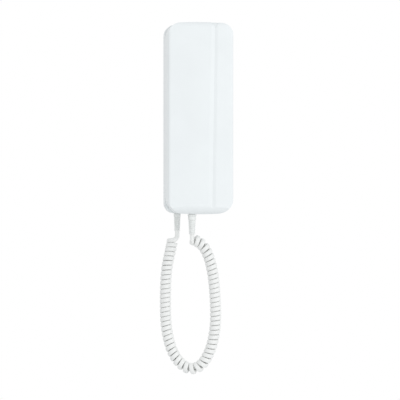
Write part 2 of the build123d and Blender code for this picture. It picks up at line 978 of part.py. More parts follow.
def receiver_magnet():
    """The magnet in the receiver's bore."""
    z = ear_end_z + cup_wall + gasket_thickness + capsule_chamber
    return disc(receiver_magnet_radius, receiver_magnet_thickness, 0, ear_y, z)


def microphone_boot():
    """The rubber boot that holds the microphone in the mouth cup's collar."""
    z = mouth_end_z + cup_wall
    boot = disc(microphone_radius + microphone_boot_wall, microphone_boot_depth, 0, mouth_y, z)
    return boot - disc(microphone_radius + receiver_clearance, microphone_boot_depth, 0, mouth_y, z)


def microphone_capsule():
    """The microphone in its boot."""
    z = mouth_end_z + cup_wall + microphone_setback
    return disc(microphone_radius, microphone_depth, 0, mouth_y, z)


def handset_weight():
    """The steel weight on its two posts."""
    plate = block(weight_width, weight_height, weight_thickness, 0, 0, weight_z, weight_corner)
    bore = small_screw_radius + screw_clearance
    for side in (-1, 1):
        plate -= disc(bore, weight_thickness, 0, side * weight_screw_y, weight_z)
    return plate


def weight_screws():
    """The screws of the weight, with their cross recesses."""
    screws = []
    for side in (-1, 1):
        y = -side * weight_screw_y
        screw = pan_screw(0, y, weight_z, weight_screw_reach, 0)
        screw -= drive_cut(0, y, weight_z + small_screw_head_height)
        screws.append(turned_outwards(screw, weight_z))
    return group(screws)


def bottom_y(x, inset):
    """Where the bottom surface lies at x, an inset further in, round the base's corner as well."""
    corner = inner_radius(base_bottom_corner, inset)
    into_corner = max(abs(x) - (body_width / 2 - inset - corner), 0)
    corner_rise = corner - math.sqrt(corner ** 2 - into_corner ** 2)
    return -body_height / 2 + inset + end_arc_sag(x) + corner_rise


def relief_seat_y(x):
    """Where a cord relief's body starts, just under the lowest wall that it covers."""
    return bottom_y(max(abs(x) - relief_collar_radius, 0), 0) - relief_seat_clearance


def base_relief_end_y():
    """Where the base's cord relief ends, below the body."""
    return relief_seat_y(base_relief_x) - base_relief_length


def handset_relief_end_y():
    """Where the handset's cord relief ends, below the body and the relief's collar."""
    return relief_seat_y(handset_relief_x) - relief_collar_height - handset_relief_length


def relief_inner_y(x):
    """Where a cord relief's flange ends, inside the shell."""
    inside = bottom_y(abs(x) + relief_flange_radius, shell_wall)
    return inside + relief_seat_clearance + relief_flange_thickness


def relief_head(x):
    """The outline of a cord relief's upper part: the flange inside the shell and the neck in the wall."""
    inner_y = relief_inner_y(x)
    return [
        (0, inner_y),
        (relief_flange_radius, inner_y),
        (relief_flange_radius, inner_y - relief_flange_thickness),
        (relief_neck_radius, inner_y - relief_flange_thickness),
        (relief_neck_radius, relief_seat_y(x)),
    ]


def relief_body(top_y, end_y, root_radius, tip_radius):
    """The outline of a cord relief's tapered body: a plain sleeve, then ribs down to its end."""

    def taper(y):
        return root_radius + (tip_radius - root_radius) * (top_y - y) / (top_y - end_y)

    points = [(root_radius, top_y)]
    for k in range(relief_rib_count):
        upper = end_y + (relief_rib_count - k) * relief_rib_pitch
        lower = upper - relief_groove_width
        points += [
            (taper(upper), upper),
            (taper(upper) - relief_groove_depth, upper),
            (taper(lower) - relief_groove_depth, lower),
            (taper(lower), lower),
        ]
    return points + [(tip_radius, end_y), (0, end_y)]


def base_cord_relief():
    """The ribbed relief that points down from the base."""
    body = relief_body(
        relief_seat_y(base_relief_x), base_relief_end_y(), base_relief_root_radius, base_relief_tip_radius
    )
    outline = Polyline(*relief_head(base_relief_x), *body, close=True)
    return Pos(base_relief_x, 0, base_relief_z) * revolve(make_face(outline), Axis.Y)


def handset_cord_relief():
    """The ribbed relief that points down from the handset, with a collar under the shell."""
    seat_y = relief_seat_y(handset_relief_x)
    body_y = seat_y - relief_collar_height
    collar = [(relief_collar_radius, seat_y), (relief_collar_radius, body_y)]
    body = relief_body(
        body_y, handset_relief_end_y(), handset_relief_root_radius, handset_relief_tip_radius
    )
    outline = Polyline(*relief_head(handset_relief_x), *collar, *body, close=True)
    return Pos(handset_relief_x, 0, handset_relief_z) * revolve(make_face(outline), Axis.Y)


def lead(points):
    """One thin wire through the points, with its corners rounded."""
    path = FilletPolyline(*points, radius=lead_bend)
    start = Plane(path @ 0, z_dir=path % 0)
    return sweep(start * Circle(lead_radius), path=path)


def lead_starts(x, z):
    """Where the cord's four cores leave the inner end of a relief."""
    y = relief_inner_y(x) + lead_clearance
    return [(x + a * lead_spread, y, z + b * lead_spread) for a in (-1, 1) for b in (-1, 1)]


def base_leads():
    """The four cores of the cord, from the base's relief to the board's lower edge."""
    run_z = board_top_z + lead_bend + 2 * lead_clearance
    low_y = mouth_y - mouth_radius
    cores = []
    for k, (x, y, z) in enumerate(lead_starts(base_relief_x, base_relief_z)):
        end_x = base_relief_x + (k + 1) * 2 * lead_radius
        end_y = -board_height / 2 + lead_bend
        points = [
            (x, y, z),
            (x, low_y - 2 * lead_bend, z),
            (end_x, low_y + mouth_radius / 2, run_z),
            (end_x, end_y, run_z),
            (end_x, end_y, board_top_z + lead_clearance),
        ]
        cores.append(lead(points))
    return group(cores)


def handset_leads():
    """The four cores in the handset: two to the receiver, two to the microphone."""
    run_z = weight_z - 4 * lead_radius - lead_bend
    capsule_back_z = ear_end_z + cup_wall + gasket_thickness + capsule_depth + lead_clearance
    microphone_back_z = mouth_end_z + cup_wall + microphone_setback + microphone_depth + lead_clearance
    low_y = mouth_y - mouth_radius / 2
    ring_x = (receiver_magnet_radius + ear_radius - cup_wall) / 2
    cores = []
    for k, (x, y, z) in enumerate(lead_starts(handset_relief_x, handset_relief_z)):
        side = 1 if k % 2 else -1
        if k < 2:
            end_x, end_y, end_z = -ring_x + side * 2 * lead_radius, ear_y, capsule_back_z
        else:
            end_x, end_y, end_z = side * 2 * lead_radius, mouth_y, microphone_back_z
        points = [
            (x, y, z),
            (x, boss_radius + 2 * lead_bend - handset_screw_y, z),
            (end_x, low_y, run_z),
            (end_x, end_y, run_z),
            (end_x, end_y, end_z),
        ]
        cores.append(lead(points))
    return group(cores)


def biarc(start, start_way, end, end_way):
    """Two arcs that leave the start one way, meet smoothly and reach the end the other way."""
    chord = end - start
    a = 2 * (1 - start_way.dot(end_way))
    b = 2 * chord.dot(start_way + end_way)
    reach = (math.sqrt(b * b + 4 * a * chord.dot(chord)) - b) / (2 * a)
    first_pull = start + start_way * reach
    second_pull = end - end_way * reach
    middle = (first_pull + second_pull) / 2
    middle_way = (second_pull - first_pull).normalized()
    return [
        Edge.make_tangent_arc(start, start_way, middle),
        Edge.make_tangent_arc(middle, middle_way, end),
    ]


def biarcs(stations):
    """Arcs through a list of places, each with its way."""
    edges = []
    for here, there in zip(stations, stations[1:]):
        edges += biarc(*here, *there)
    return edges


def wound_tube(edges, diameter):
    """A round tube swept along edges that meet smoothly."""
    path = Wire(edges)
    start = Plane(path @ 0, z_dir=path % 0)
    return sweep(start * Circle(diameter / 2), path=path)


def cord_axis():
    """Points of the coil's axis: one parabola for each corner, from mid run to mid run."""
    corners = [Vector(*corner) for corner in cord_corners]
    points = [corners[0]]
    for k in range(1, len(corners) - 1):
        before = corners[0] if k == 1 else (corners[k - 1] + corners[k]) / 2
        after = corners[-1] if k == len(corners) - 2 else (corners[k] + corners[k + 1]) / 2
        for step in range(1, axis_steps + 1):
            share = step / axis_steps
            near = before * (1 - share) + corners[k] * share
            far = corners[k] * (1 - share) + after * share
            points.append(near * (1 - share) + far * share)
    return points


def coil_stations():
    """Places and ways along the coil, a part of a turn apart. Its turns open where its axis bends."""
    axis = cord_axis()
    ways = []
    for k in range(len(axis)):
        ways.append((axis[min(k + 1, len(axis) - 1)] - axis[max(k - 1, 0)]).normalized())
    sides = []
    turned = [0.0]
    side = frontwards
    for k, way in enumerate(ways):
        side = (side - way * side.dot(way)).normalized()
        sides.append(side)
        if k:
            step = (axis[k] - axis[k - 1]).length
            bend = ways[k - 1].cross(way).length / step
            turned.append(turned[-1] + step / (coil_pitch + coil_spread * bend))
    across = ways[-1].cross(sides[-1])
    last_front = math.atan2(frontwards.dot(across), frontwards.dot(sides[-1])) / (2 * math.pi)
    last = last_front - coil_last_turn_share
    last += round(turned[-1] - last)
    fit = last / turned[-1]

    def place(turns):
        k = 1
        while k < len(turned) - 1 and turned[k] * fit < turns:
            k += 1
        low, high = turned[k - 1] * fit, turned[k] * fit
        share = (turns - low) / (high - low)
        centre = axis[k - 1] * (1 - share) + axis[k] * share
        way = (ways[k - 1] * (1 - share) + ways[k] * share).normalized()
        near = sides[k - 1] * (1 - share) + sides[k] * share
        near = (near - way * near.dot(way)).normalized()
        angle = 2 * math.pi * turns
        return centre + (near * math.cos(angle) + way.cross(near) * math.sin(angle)) * coil_radius

    count = math.ceil((last - coil_first_turn_share) * biarcs_per_turn)
    nudge = 1 / count ** 2
    stations = []
    for k in range(count + 1):
        turns = coil_first_turn_share + (last - coil_first_turn_share) * k / count
        way = (place(turns + nudge) - place(turns - nudge)).normalized()
        stations.append((place(turns), way))
    return stations


def cord_edges():
    """The cord's whole line: straight out of the base's relief, through the coil, into the handset's."""
    ends = [
        Vector(base_relief_x, -base_relief_z, base_relief_end_y()),
        Vector(handset_relief_x, -handset_relief_z, handset_relief_end_y()),
    ]
    base_end, handset_end = ends
    base_lead = base_end + down * cord_diameter
    handset_lead = handset_end + down * cord_diameter
    stations = [(base_lead, down)] + coil_stations() + [(handset_lead, down * -1)]
    first, last = Edge.make_line(base_end, base_lead), Edge.make_line(handset_lead, handset_end)
    return [first] + biarcs(stations) + [last]


def print_cord_facts(edges):
    """Print the cord's length, its tightest arc and its least gap to itself."""
    length = sum(edge.length for edge in edges)
    radii = [edge.radius for edge in edges if edge.geom_type == GeomType.CIRCLE]
    points = []
    runs = []
    run = 0.0
    for edge in edges:
        for k in range(gap_points_per_arc):
            point = edge.position_at(k / gap_points_per_arc)
            points.append((point.X, point.Y, point.Z))
            runs.append(run + edge.length * k / gap_points_per_arc)
        run += edge.length
    half_turn = math.pi * coil_radius
    least = length
    for k, point in enumerate(points):
        for other, other_run in zip(points[k:], runs[k:]):
            if other_run - runs[k] > half_turn:
                least = min(least, math.dist(point, other))
    print(f"cord: length {length:.1f}, tightest arc {min(radii):.2f}, arcs {len(radii)}")
    print(f"cord: least gap to itself {least - cord_diameter:.2f}")


def curly_cord():
    """The curly cord, standing, as one unbroken tube."""
    edges = cord_edges()
    print_cord_facts(edges)
    return wound_tube(edges, cord_diameter)


def stand(shape):
    """Stand a piece up: what was out of the wall faces -Y, and what was up the wall is up."""
    return Plane.XZ.location * shape


bench_pieces = {
    "base_back_plate": base_back_plate,
    "base_housing": base_housing,
    "housing_screws": housing_screws,
    "base_circuit_board": base_circuit_board,
    "board_screws": board_screws,
    "board_capacitors": board_capacitors,
    "board_chip": board_chip,
    "terminal_block": terminal_block,
    "terminal_screws": terminal_screws,
    "call_speaker_frame": call_speaker_frame,
    "call_speaker_cone": call_speaker_cone,
    "call_speaker_magnet": call_speaker_magnet,
    "hook_switch_body": hook_switch_body,
    "hook_plunger": hook_plunger,
    "hook_spring": hook_spring,
    "release_switch_body": release_switch_body,
    "door_release_button": door_release_button,
    "release_spring": release_spring,
    "volume_switch_body": volume_switch_body,
    "volume_slider": volume_slider,
    "base_leads": base_leads,
    "base_cord_relief": base_cord_relief,
    "handset_outer_shell": handset_outer_shell,
    "handset_inner_shell": handset_inner_shell,
    "handset_screws": handset_screws,
    "receiver_gasket": receiver_gasket,
    "receiver_capsule": receiver_capsule,
    "receiver_diaphragm": receiver_diaphragm,
    "receiver_magnet": receiver_magnet,
    "microphone_boot": microphone_boot,
    "microphone_capsule": microphone_capsule,
    "handset_weight": handset_weight,
    "weight_screws": weight_screws,
    "handset_leads": handset_leads,
    "handset_cord_relief": handset_cord_relief,
}

os.makedirs("parts", exist_ok=True)
for name, piece in bench_pieces.items():
    export_step(stand(piece()), f"parts/{name}.step")
export_step(curly_cord(), "parts/curly_cord.step")
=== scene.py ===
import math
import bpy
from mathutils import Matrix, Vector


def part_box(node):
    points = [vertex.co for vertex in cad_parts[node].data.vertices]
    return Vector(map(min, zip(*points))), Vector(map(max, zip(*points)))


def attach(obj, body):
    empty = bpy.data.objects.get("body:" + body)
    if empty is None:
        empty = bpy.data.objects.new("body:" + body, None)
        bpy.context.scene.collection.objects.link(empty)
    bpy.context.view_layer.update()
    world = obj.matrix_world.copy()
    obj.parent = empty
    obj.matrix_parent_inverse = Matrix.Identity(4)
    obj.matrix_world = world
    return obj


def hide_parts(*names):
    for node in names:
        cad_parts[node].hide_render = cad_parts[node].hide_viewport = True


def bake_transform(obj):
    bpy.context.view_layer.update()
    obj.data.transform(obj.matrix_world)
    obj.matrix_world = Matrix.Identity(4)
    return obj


bl_info = {
    "name": "Wall Intercom Handset",
    "version": (1, 0, 0),
    "blender": (4, 5, 0),
    "location": "3D View > Sidebar > Intercom",
    "description": "Dresses the packed wall intercom: cord, reliefs, screws, finishes, lights and camera",
    "category": "Object",
}

import bmesh
import bpy
from bpy.props import FloatProperty, FloatVectorProperty, IntProperty, PointerProperty
from mathutils import Matrix, Vector
from mathutils.geometry import interpolate_bezier

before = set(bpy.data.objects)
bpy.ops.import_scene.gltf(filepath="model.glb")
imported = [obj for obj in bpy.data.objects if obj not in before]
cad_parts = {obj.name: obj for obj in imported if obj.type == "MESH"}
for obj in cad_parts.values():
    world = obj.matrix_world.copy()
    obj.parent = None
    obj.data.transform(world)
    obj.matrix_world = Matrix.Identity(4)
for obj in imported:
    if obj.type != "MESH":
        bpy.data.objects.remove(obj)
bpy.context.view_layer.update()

# The route of the coil's axis in metres, from the base's relief to the handset's.
CORD_ROUTE = [
    (-0.0270, -0.0095, -0.1345),
    (-0.0298, -0.0115, -0.1470),
    (-0.0334, -0.0133, -0.1620),
    (-0.0350, -0.0145, -0.1790),
    (-0.0354, -0.0155, -0.1970),
    (-0.0355, -0.0165, -0.2150),
    (-0.0344, -0.0180, -0.2330),
    (-0.0306, -0.0200, -0.2505),
    (-0.0252, -0.0218, -0.2622),
    (-0.0190, -0.0230, -0.2698),
    (-0.0126, -0.0242, -0.2742),
    (-0.0060, -0.0254, -0.2752),
    (0.0004, -0.0264, -0.2730),
    (0.0057, -0.0273, -0.2680),
    (0.0104, -0.0282, -0.2600),
    (0.0145, -0.0292, -0.2494),
    (0.0173, -0.0303, -0.2360),
    (0.0186, -0.0310, -0.2200),
    (0.0182, -0.0315, -0.2030),
    (0.0171, -0.0318, -0.1860),
    (0.0153, -0.0320, -0.1700),
    (0.0123, -0.0320, -0.1560),
    (0.0076, -0.0318, -0.1440),
    (0.0018, -0.0313, -0.1365),
    (-0.0055, -0.0310, -0.1330),
]
POINTS_PER_TURN = 24
FIRST_TURN_SHARE = 15 / 360
LAST_TURN_SHARE = 105 / 360
# The wire's way into the coil: how hard it is pulled straight at both ends, and its points.
LEAD_PULL_SHARE = 0.42
LEAD_POINTS = 14
FRONT = Vector((0, -1, 0))
DOWN = Vector((0, 0, -1))


# The settings of each group of pieces.


class IntercomCordSettings(bpy.types.PropertyGroup):
    width: FloatProperty(
        name="Cord Width", description="Width of the flattened wire along the coil",
        default=0.0048, min=0.001, subtype="DISTANCE", unit="LENGTH")
    thickness: FloatProperty(
        name="Cord Thickness", description="Thickness of the wire, outwards from the coil",
        default=0.0041, min=0.001, subtype="DISTANCE", unit="LENGTH")
    edge_radius: FloatProperty(
        name="Edge Radius", description="Rounding of the flattened wire's edges",
        default=0.0014, min=0.0001, subtype="DISTANCE", unit="LENGTH")
    coil_radius: FloatProperty(
        name="Coil Radius", description="From the coil's axis to the middle of its wire",
        default=0.0042, min=0.002, subtype="DISTANCE", unit="LENGTH")
    coil_pitch: FloatProperty(
        name="Coil Pitch", description="From one turn to the next where the coil is straight",
        default=0.00505, min=0.003, subtype="DISTANCE", unit="LENGTH")
    coil_spread: FloatProperty(
        name="Coil Spread", description="How much the turns open where the coil bends",
        default=0.000025, min=0.0)
    length: FloatProperty(
        name="Cord Length", description="Length of the wire along all its turns",
        default=1.6, min=0.1, subtype="DISTANCE", unit="LENGTH")
    colour: FloatVectorProperty(
        name="Cord Colour", description="Colour of the cord's jacket",
        default=(0.845, 0.85, 0.835), size=3, min=0, max=1, subtype="COLOR")


class IntercomReliefSettings(bpy.types.PropertyGroup):
    base_length: FloatProperty(
        name="Base Length", description="Length of the base relief's ribbed body",
        default=0.0186, min=0.005, subtype="DISTANCE", unit="LENGTH")
    base_root_radius: FloatProperty(
        name="Base Root Radius", description="Radius of the base relief at the shell",
        default=0.0038, min=0.001, subtype="DISTANCE", unit="LENGTH")
    base_tip_radius: FloatProperty(
        name="Base Tip Radius", description="Radius of the base relief at the cord",
        default=0.0032, min=0.001, subtype="DISTANCE", unit="LENGTH")
    handset_length: FloatProperty(
        name="Handset Length", description="Length of the handset relief's ribbed body",
        default=0.020, min=0.005, subtype="DISTANCE", unit="LENGTH")
    handset_root_radius: FloatProperty(
        name="Handset Root Radius", description="Radius of the handset relief at its collar",
        default=0.0043, min=0.001, subtype="DISTANCE", unit="LENGTH")
    handset_tip_radius: FloatProperty(
        name="Handset Tip Radius", description="Radius of the handset relief at the cord",
        default=0.0034, min=0.001, subtype="DISTANCE", unit="LENGTH")
    rib_count: IntProperty(
        name="Ribs", description="How many ribs a relief has",
        default=7, min=1, max=12)
    rib_pitch: FloatProperty(
        name="Rib Pitch", description="From one rib to the next",
        default=0.00215, min=0.001, subtype="DISTANCE", unit="LENGTH")
    groove_width: FloatProperty(
        name="Groove Width", description="Width of the grooves between the ribs",
        default=0.0008, min=0.0002, subtype="DISTANCE", unit="LENGTH")
    groove_depth: FloatProperty(
        name="Groove Depth", description="Depth of the grooves between the ribs",
        default=0.0007, min=0.0001, subtype="DISTANCE", unit="LENGTH")
    collar_height: FloatProperty(
        name="Collar Height", description="Height of the handset relief's collar, under the shell",
        default=0.0016, min=0.0001, subtype="DISTANCE", unit="LENGTH")
    collar_radius: FloatProperty(
        name="Collar Radius", description="Radius of the handset relief's collar",
        default=0.0047, min=0.001, subtype="DISTANCE", unit="LENGTH")
    neck_radius: FloatProperty(
        name="Neck Radius", description="Radius of a relief's neck in the shell's wall",
        default=0.0033, min=0.001, subtype="DISTANCE", unit="LENGTH")
    flange_radius: FloatProperty(
        name="Flange Radius", description="Radius of the flange that holds a relief inside the shell",
        default=0.0046, min=0.001, subtype="DISTANCE", unit="LENGTH")
    flange_thickness: FloatProperty(
        name="Flange Thickness", description="Thickness of the flange inside the shell",
        default=0.0015, min=0.0001, subtype="DISTANCE", unit="LENGTH")
    colour: FloatVectorProperty(
        name="Relief Colour", description="Colour of the soft reliefs",
        default=(0.81, 0.825, 0.81), size=3, min=0, max=1, subtype="COLOR")


class IntercomShellSettings(bpy.types.PropertyGroup):
    colour: FloatVectorProperty(
        name="Shell Colour", description="Colour of the moulded shells",
        default=(0.81, 0.842, 0.848), size=3, min=0, max=1, subtype="COLOR")
    plate_colour: FloatVectorProperty(
        name="Plate Colour", description="Colour of the back plate",
        default=(0.66, 0.67, 0.665), size=3, min=0, max=1, subtype="COLOR")
    button_colour: FloatVectorProperty(
        name="Button Colour", description="Colour of the button and the slider",
        default=(0.30, 0.32, 0.335), size=3, min=0, max=1, subtype="COLOR")
    roughness: FloatProperty(
        name="Shell Roughness", description="How dull the moulded shells are",
        default=0.42, min=0, max=1, subtype="FACTOR")


class IntercomScrewSettings(bpy.types.PropertyGroup):
    radius: FloatProperty(
        name="Screw Radius", description="Radius over the thread",
        default=0.00145, min=0.0005, subtype="DISTANCE", unit="LENGTH")
    length: FloatProperty(
        name="Screw Length", description="Length with the head",
        default=0.008, min=0.002, subtype="DISTANCE", unit="LENGTH")
    head_radius: FloatProperty(
        name="Head Radius", description="Radius of the flat head",
        default=0.0029, min=0.001, subtype="DISTANCE", unit="LENGTH")
    head_height: FloatProperty(
        name="Head Height", description="Height of the flat head",
        default=0.0015, min=0.0005, subtype="DISTANCE", unit="LENGTH")
    thread_pitch: FloatProperty(
        name="Thread Pitch", description="From one thread ridge to the next",
        default=0.0009, min=0.0003, subtype="DISTANCE", unit="LENGTH")


class IntercomSpringSettings(bpy.types.PropertyGroup):
    hook_turns: IntProperty(
        name="Hook Spring Turns", description="Turns of the plunger's spring",
        default=3, min=1, max=20)
    hook_wire: FloatProperty(
        name="Hook Spring Wire", description="Wire thickness of the plunger's spring",
        default=0.0005, min=0.0001, subtype="DISTANCE", unit="LENGTH")
    release_turns: IntProperty(
        name="Release Spring Turns", description="Turns of the button's spring",
        default=6, min=1, max=20)
    release_wire: FloatProperty(
        name="Release Spring Wire", description="Wire thickness of the button's spring",
        default=0.0006, min=0.0001, subtype="DISTANCE", unit="LENGTH")


class IntercomStageSettings(bpy.types.PropertyGroup):
    yaw: FloatProperty(
        name="Camera Yaw", description="How far the camera stands to the object's left",
        default=math.radians(7.0), subtype="ANGLE", unit="ROTATION")
    distance: FloatProperty(
        name="Camera Distance", description="From the camera to the handset's face",
        default=2.4, min=0.5, subtype="DISTANCE", unit="LENGTH")
    view_width: FloatProperty(
        name="View Width", description="Width of what the camera sees at the handset's face",
        default=0.4376, min=0.1, subtype="DISTANCE", unit="LENGTH")
    key: FloatProperty(
        name="Key Light", description="Power of the large lamp at the right",
        default=5.88, min=0, subtype="POWER", unit="POWER")
    front: FloatProperty(
        name="Front Light", description="Power of the low lamp before the object",
        default=6.47, min=0, subtype="POWER", unit="POWER")
    ambient: FloatProperty(
        name="Ambient", description="Strength of the light from all round",
        default=0.85, min=0)
    floor_height: FloatProperty(
        name="Floor Height", description="Height of the floor below the object",
        default=-1.1, subtype="DISTANCE", unit="LENGTH")


# Materials.


def shader_tree(name):
    """A new material with its node tree, its surface shader and a texture coordinate node."""
    mat = bpy.data.materials.new(name)
    mat.use_nodes = True
    tree = mat.node_tree
    coord = tree.nodes.new("ShaderNodeTexCoord")
    return mat, tree, tree.nodes["Principled BSDF"], coord


def noise(tree, coord, scale, detail=2.0, stretch=(1, 1, 1)):
    """A noise on object coordinates. Returns its value socket."""
    place = tree.nodes.new("ShaderNodeMapping")
    place.inputs["Scale"].default_value = stretch
    tree.links.new(coord.outputs["Object"], place.inputs["Vector"])
    node = tree.nodes.new("ShaderNodeTexNoise")
    node.inputs["Scale"].default_value = scale
    node.inputs["Detail"].default_value = detail
    tree.links.new(place.outputs["Vector"], node.inputs["Vector"])
    return node.outputs["Fac"]


def ramp(tree, value, low, high, start=0.3, end=0.7):
    """A colour ramp between two colours."""
    node = tree.nodes.new("ShaderNodeValToRGB")
    node.color_ramp.elements[0].position = start
    node.color_ramp.elements[1].position = end
    node.color_ramp.elements[0].color = (*low, 1)
    node.color_ramp.elements[1].color = (*high, 1)
    tree.links.new(value, node.inputs["Fac"])
    return node.outputs["Color"]


def spread(tree, value, low, high):
    """A value mapped from 0..1 to a range."""
    node = tree.nodes.new("ShaderNodeMapRange")
    node.inputs["To Min"].default_value = low
    node.inputs["To Max"].default_value = high
    tree.links.new(value, node.inputs["Value"])
    return node.outputs["Result"]


def bumps(tree, shader, heights):
    """Bumps on top of each other. Each is a height socket, a depth in metres and a strength."""
    last = None
    for height, depth, strength in heights:
        node = tree.nodes.new("ShaderNodeBump")
        node.inputs["Distance"].default_value = depth
        node.inputs["Strength"].default_value = strength
        tree.links.new(height, node.inputs["Height"])
        if last:
            tree.links.new(last, node.inputs["Normal"])
        last = node.outputs["Normal"]
    tree.links.new(last, shader.inputs["Normal"])


def tinted(colour, factor):
    return tuple(min(channel * factor, 1) for channel in colour)


def moulded(name, colour, roughness, grain=2600, depth=0.00002, variation=0.02, specular=0.5):
    """Moulded plastic: a fine spark grain, a faint flow variation and a slightly uneven gloss."""
    mat, tree, shader, coord = shader_tree(name)
    flow = noise(tree, coord, 22, 3)
    tree.links.new(ramp(tree, flow, tinted(colour, 1 - variation), tinted(colour, 1 + variation / 2)),
                   shader.inputs["Base Color"])
    gloss = noise(tree, coord, 140, 2)
    tree.links.new(spread(tree, gloss, roughness - 0.05, roughness + 0.05), shader.inputs["Roughness"])
    shader.inputs["Specular IOR Level"].default_value = specular
    skin = noise(tree, coord, grain, 3)
    waves = noise(tree, coord, 60, 1)
    bumps(tree, shader, [(skin, depth, 0.5), (waves, 0.00004, 0.15)])
    return mat


def soft(name, colour, roughness=0.62, grain=900):
    """Soft moulded plastic or rubber: dull, with a dusty sheen and a coarse fine-pored skin."""
    mat, tree, shader, coord = shader_tree(name)
    dust = noise(tree, coord, 260, 4)
    tree.links.new(ramp(tree, dust, tinted(colour, 0.94), tinted(colour, 1.03)), shader.inputs["Base Color"])
    tree.links.new(spread(tree, dust, roughness - 0.06, roughness + 0.08), shader.inputs["Roughness"])
    shader.inputs["Sheen Weight"].default_value = 0.08
    bumps(tree, shader, [(noise(tree, coord, grain, 4), 0.00003, 0.5)])
    return mat


def metal(name, colour, roughness=0.32, stretch=(1, 1, 30), scale=400):
    """Plated or brushed metal: fine lines along one way and cloudy tarnish."""
    mat, tree, shader, coord = shader_tree(name)
    lines = noise(tree, coord, scale, 3, stretch)
    cloud = noise(tree, coord, 180, 4)
    tarnish = ramp(tree, cloud, tinted(colour, 0.82), tinted(colour, 1.08))
    tree.links.new(tarnish, shader.inputs["Base Color"])
    tree.links.new(spread(tree, lines, roughness - 0.1, roughness + 0.14), shader.inputs["Roughness"])
    shader.inputs["Metallic"].default_value = 1.0
    bumps(tree, shader, [(lines, 0.00001, 0.4)])
    return mat


def circuit_board(name):
    """Solder mask with raised tracks on a fine grid and a weave that shows through."""
    mat, tree, shader, coord = shader_tree(name)
    cells = tree.nodes.new("ShaderNodeTexBrick")
    cells.inputs["Scale"].default_value = 150
    cells.inputs["Mortar Size"].default_value = 0.06
    cells.inputs["Color1"].default_value = (0.012, 0.10, 0.035, 1)
    cells.inputs["Color2"].default_value = (0.014, 0.115, 0.04, 1)
    cells.inputs["Mortar"].default_value = (0.03, 0.19, 0.07, 1)
    place = tree.nodes.new("ShaderNodeMapping")
    place.inputs["Rotation"].default_value = (math.radians(90), 0, 0)
    tree.links.new(coord.outputs["Object"], place.inputs["Vector"])
    tree.links.new(place.outputs["Vector"], cells.inputs["Vector"])
    tree.links.new(cells.outputs["Color"], shader.inputs["Base Color"])
    weave = noise(tree, coord, 1500, 2, (1, 1, 0.3))
    tree.links.new(spread(tree, weave, 0.22, 0.38), shader.inputs["Roughness"])
    bumps(tree, shader, [(cells.outputs["Fac"], 0.00004, 0.6), (weave, 0.00001, 0.4)])
    return mat


def foam(name, colour):
    """Open foam or pressed paper: pits of many sizes, with painted shade darkening each pit."""
    mat, tree, shader, coord = shader_tree(name)
    pits = tree.nodes.new("ShaderNodeTexVoronoi")
    pits.inputs["Scale"].default_value = 1400
    tree.links.new(coord.outputs["Object"], pits.inputs["Vector"])
    # The colour darkens towards the middle of each pit, where the bump is lowest: painted shade in the pits.
    tree.links.new(ramp(tree, pits.outputs["Distance"], tinted(colour, 0.5), tinted(colour, 1.3), 0.1, 0.6),
                   shader.inputs["Base Color"])
    shader.inputs["Roughness"].default_value = 0.9
    bumps(tree, shader, [(pits.outputs["Distance"], 0.0002, 0.7)])
    return mat


def banded(name, colours, width, roughness=0.45):
    """Bands of colour side by side along X, as on the cores of a cord."""
    mat, tree, shader, coord = shader_tree(name)
    split = tree.nodes.new("ShaderNodeSeparateXYZ")
    tree.links.new(coord.outputs["Object"], split.inputs["Vector"])
    wrap = tree.nodes.new("ShaderNodeMath")
    wrap.operation = "PINGPONG"
    wrap.inputs[1].default_value = width
    tree.links.new(split.outputs["X"], wrap.inputs[0])
    node = tree.nodes.new("ShaderNodeValToRGB")
    node.color_ramp.interpolation = "CONSTANT"
    while len(node.color_ramp.elements) < len(colours):
        node.color_ramp.elements.new(0.5)
    for k, colour in enumerate(colours):
        node.color_ramp.elements[k].position = k / len(colours)
        node.color_ramp.elements[k].color = (*colour, 1)
    tree.links.new(spread(tree, wrap.outputs["Value"], 0, 1 / width), node.inputs["Fac"])
    tree.links.new(node.outputs["Color"], shader.inputs["Base Color"])
    skin = noise(tree, coord, 700, 3)
    tree.links.new(spread(tree, skin, roughness - 0.08, roughness + 0.08), shader.inputs["Roughness"])
    bumps(tree, shader, [(skin, 0.00002, 0.4)])
    return mat


def finish_nodes(material, *names):
    """Give CAD nodes their finish."""
    for name in names:
        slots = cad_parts[name].data.materials
        slots.clear()
        slots.append(material)


# Geometry node trees.


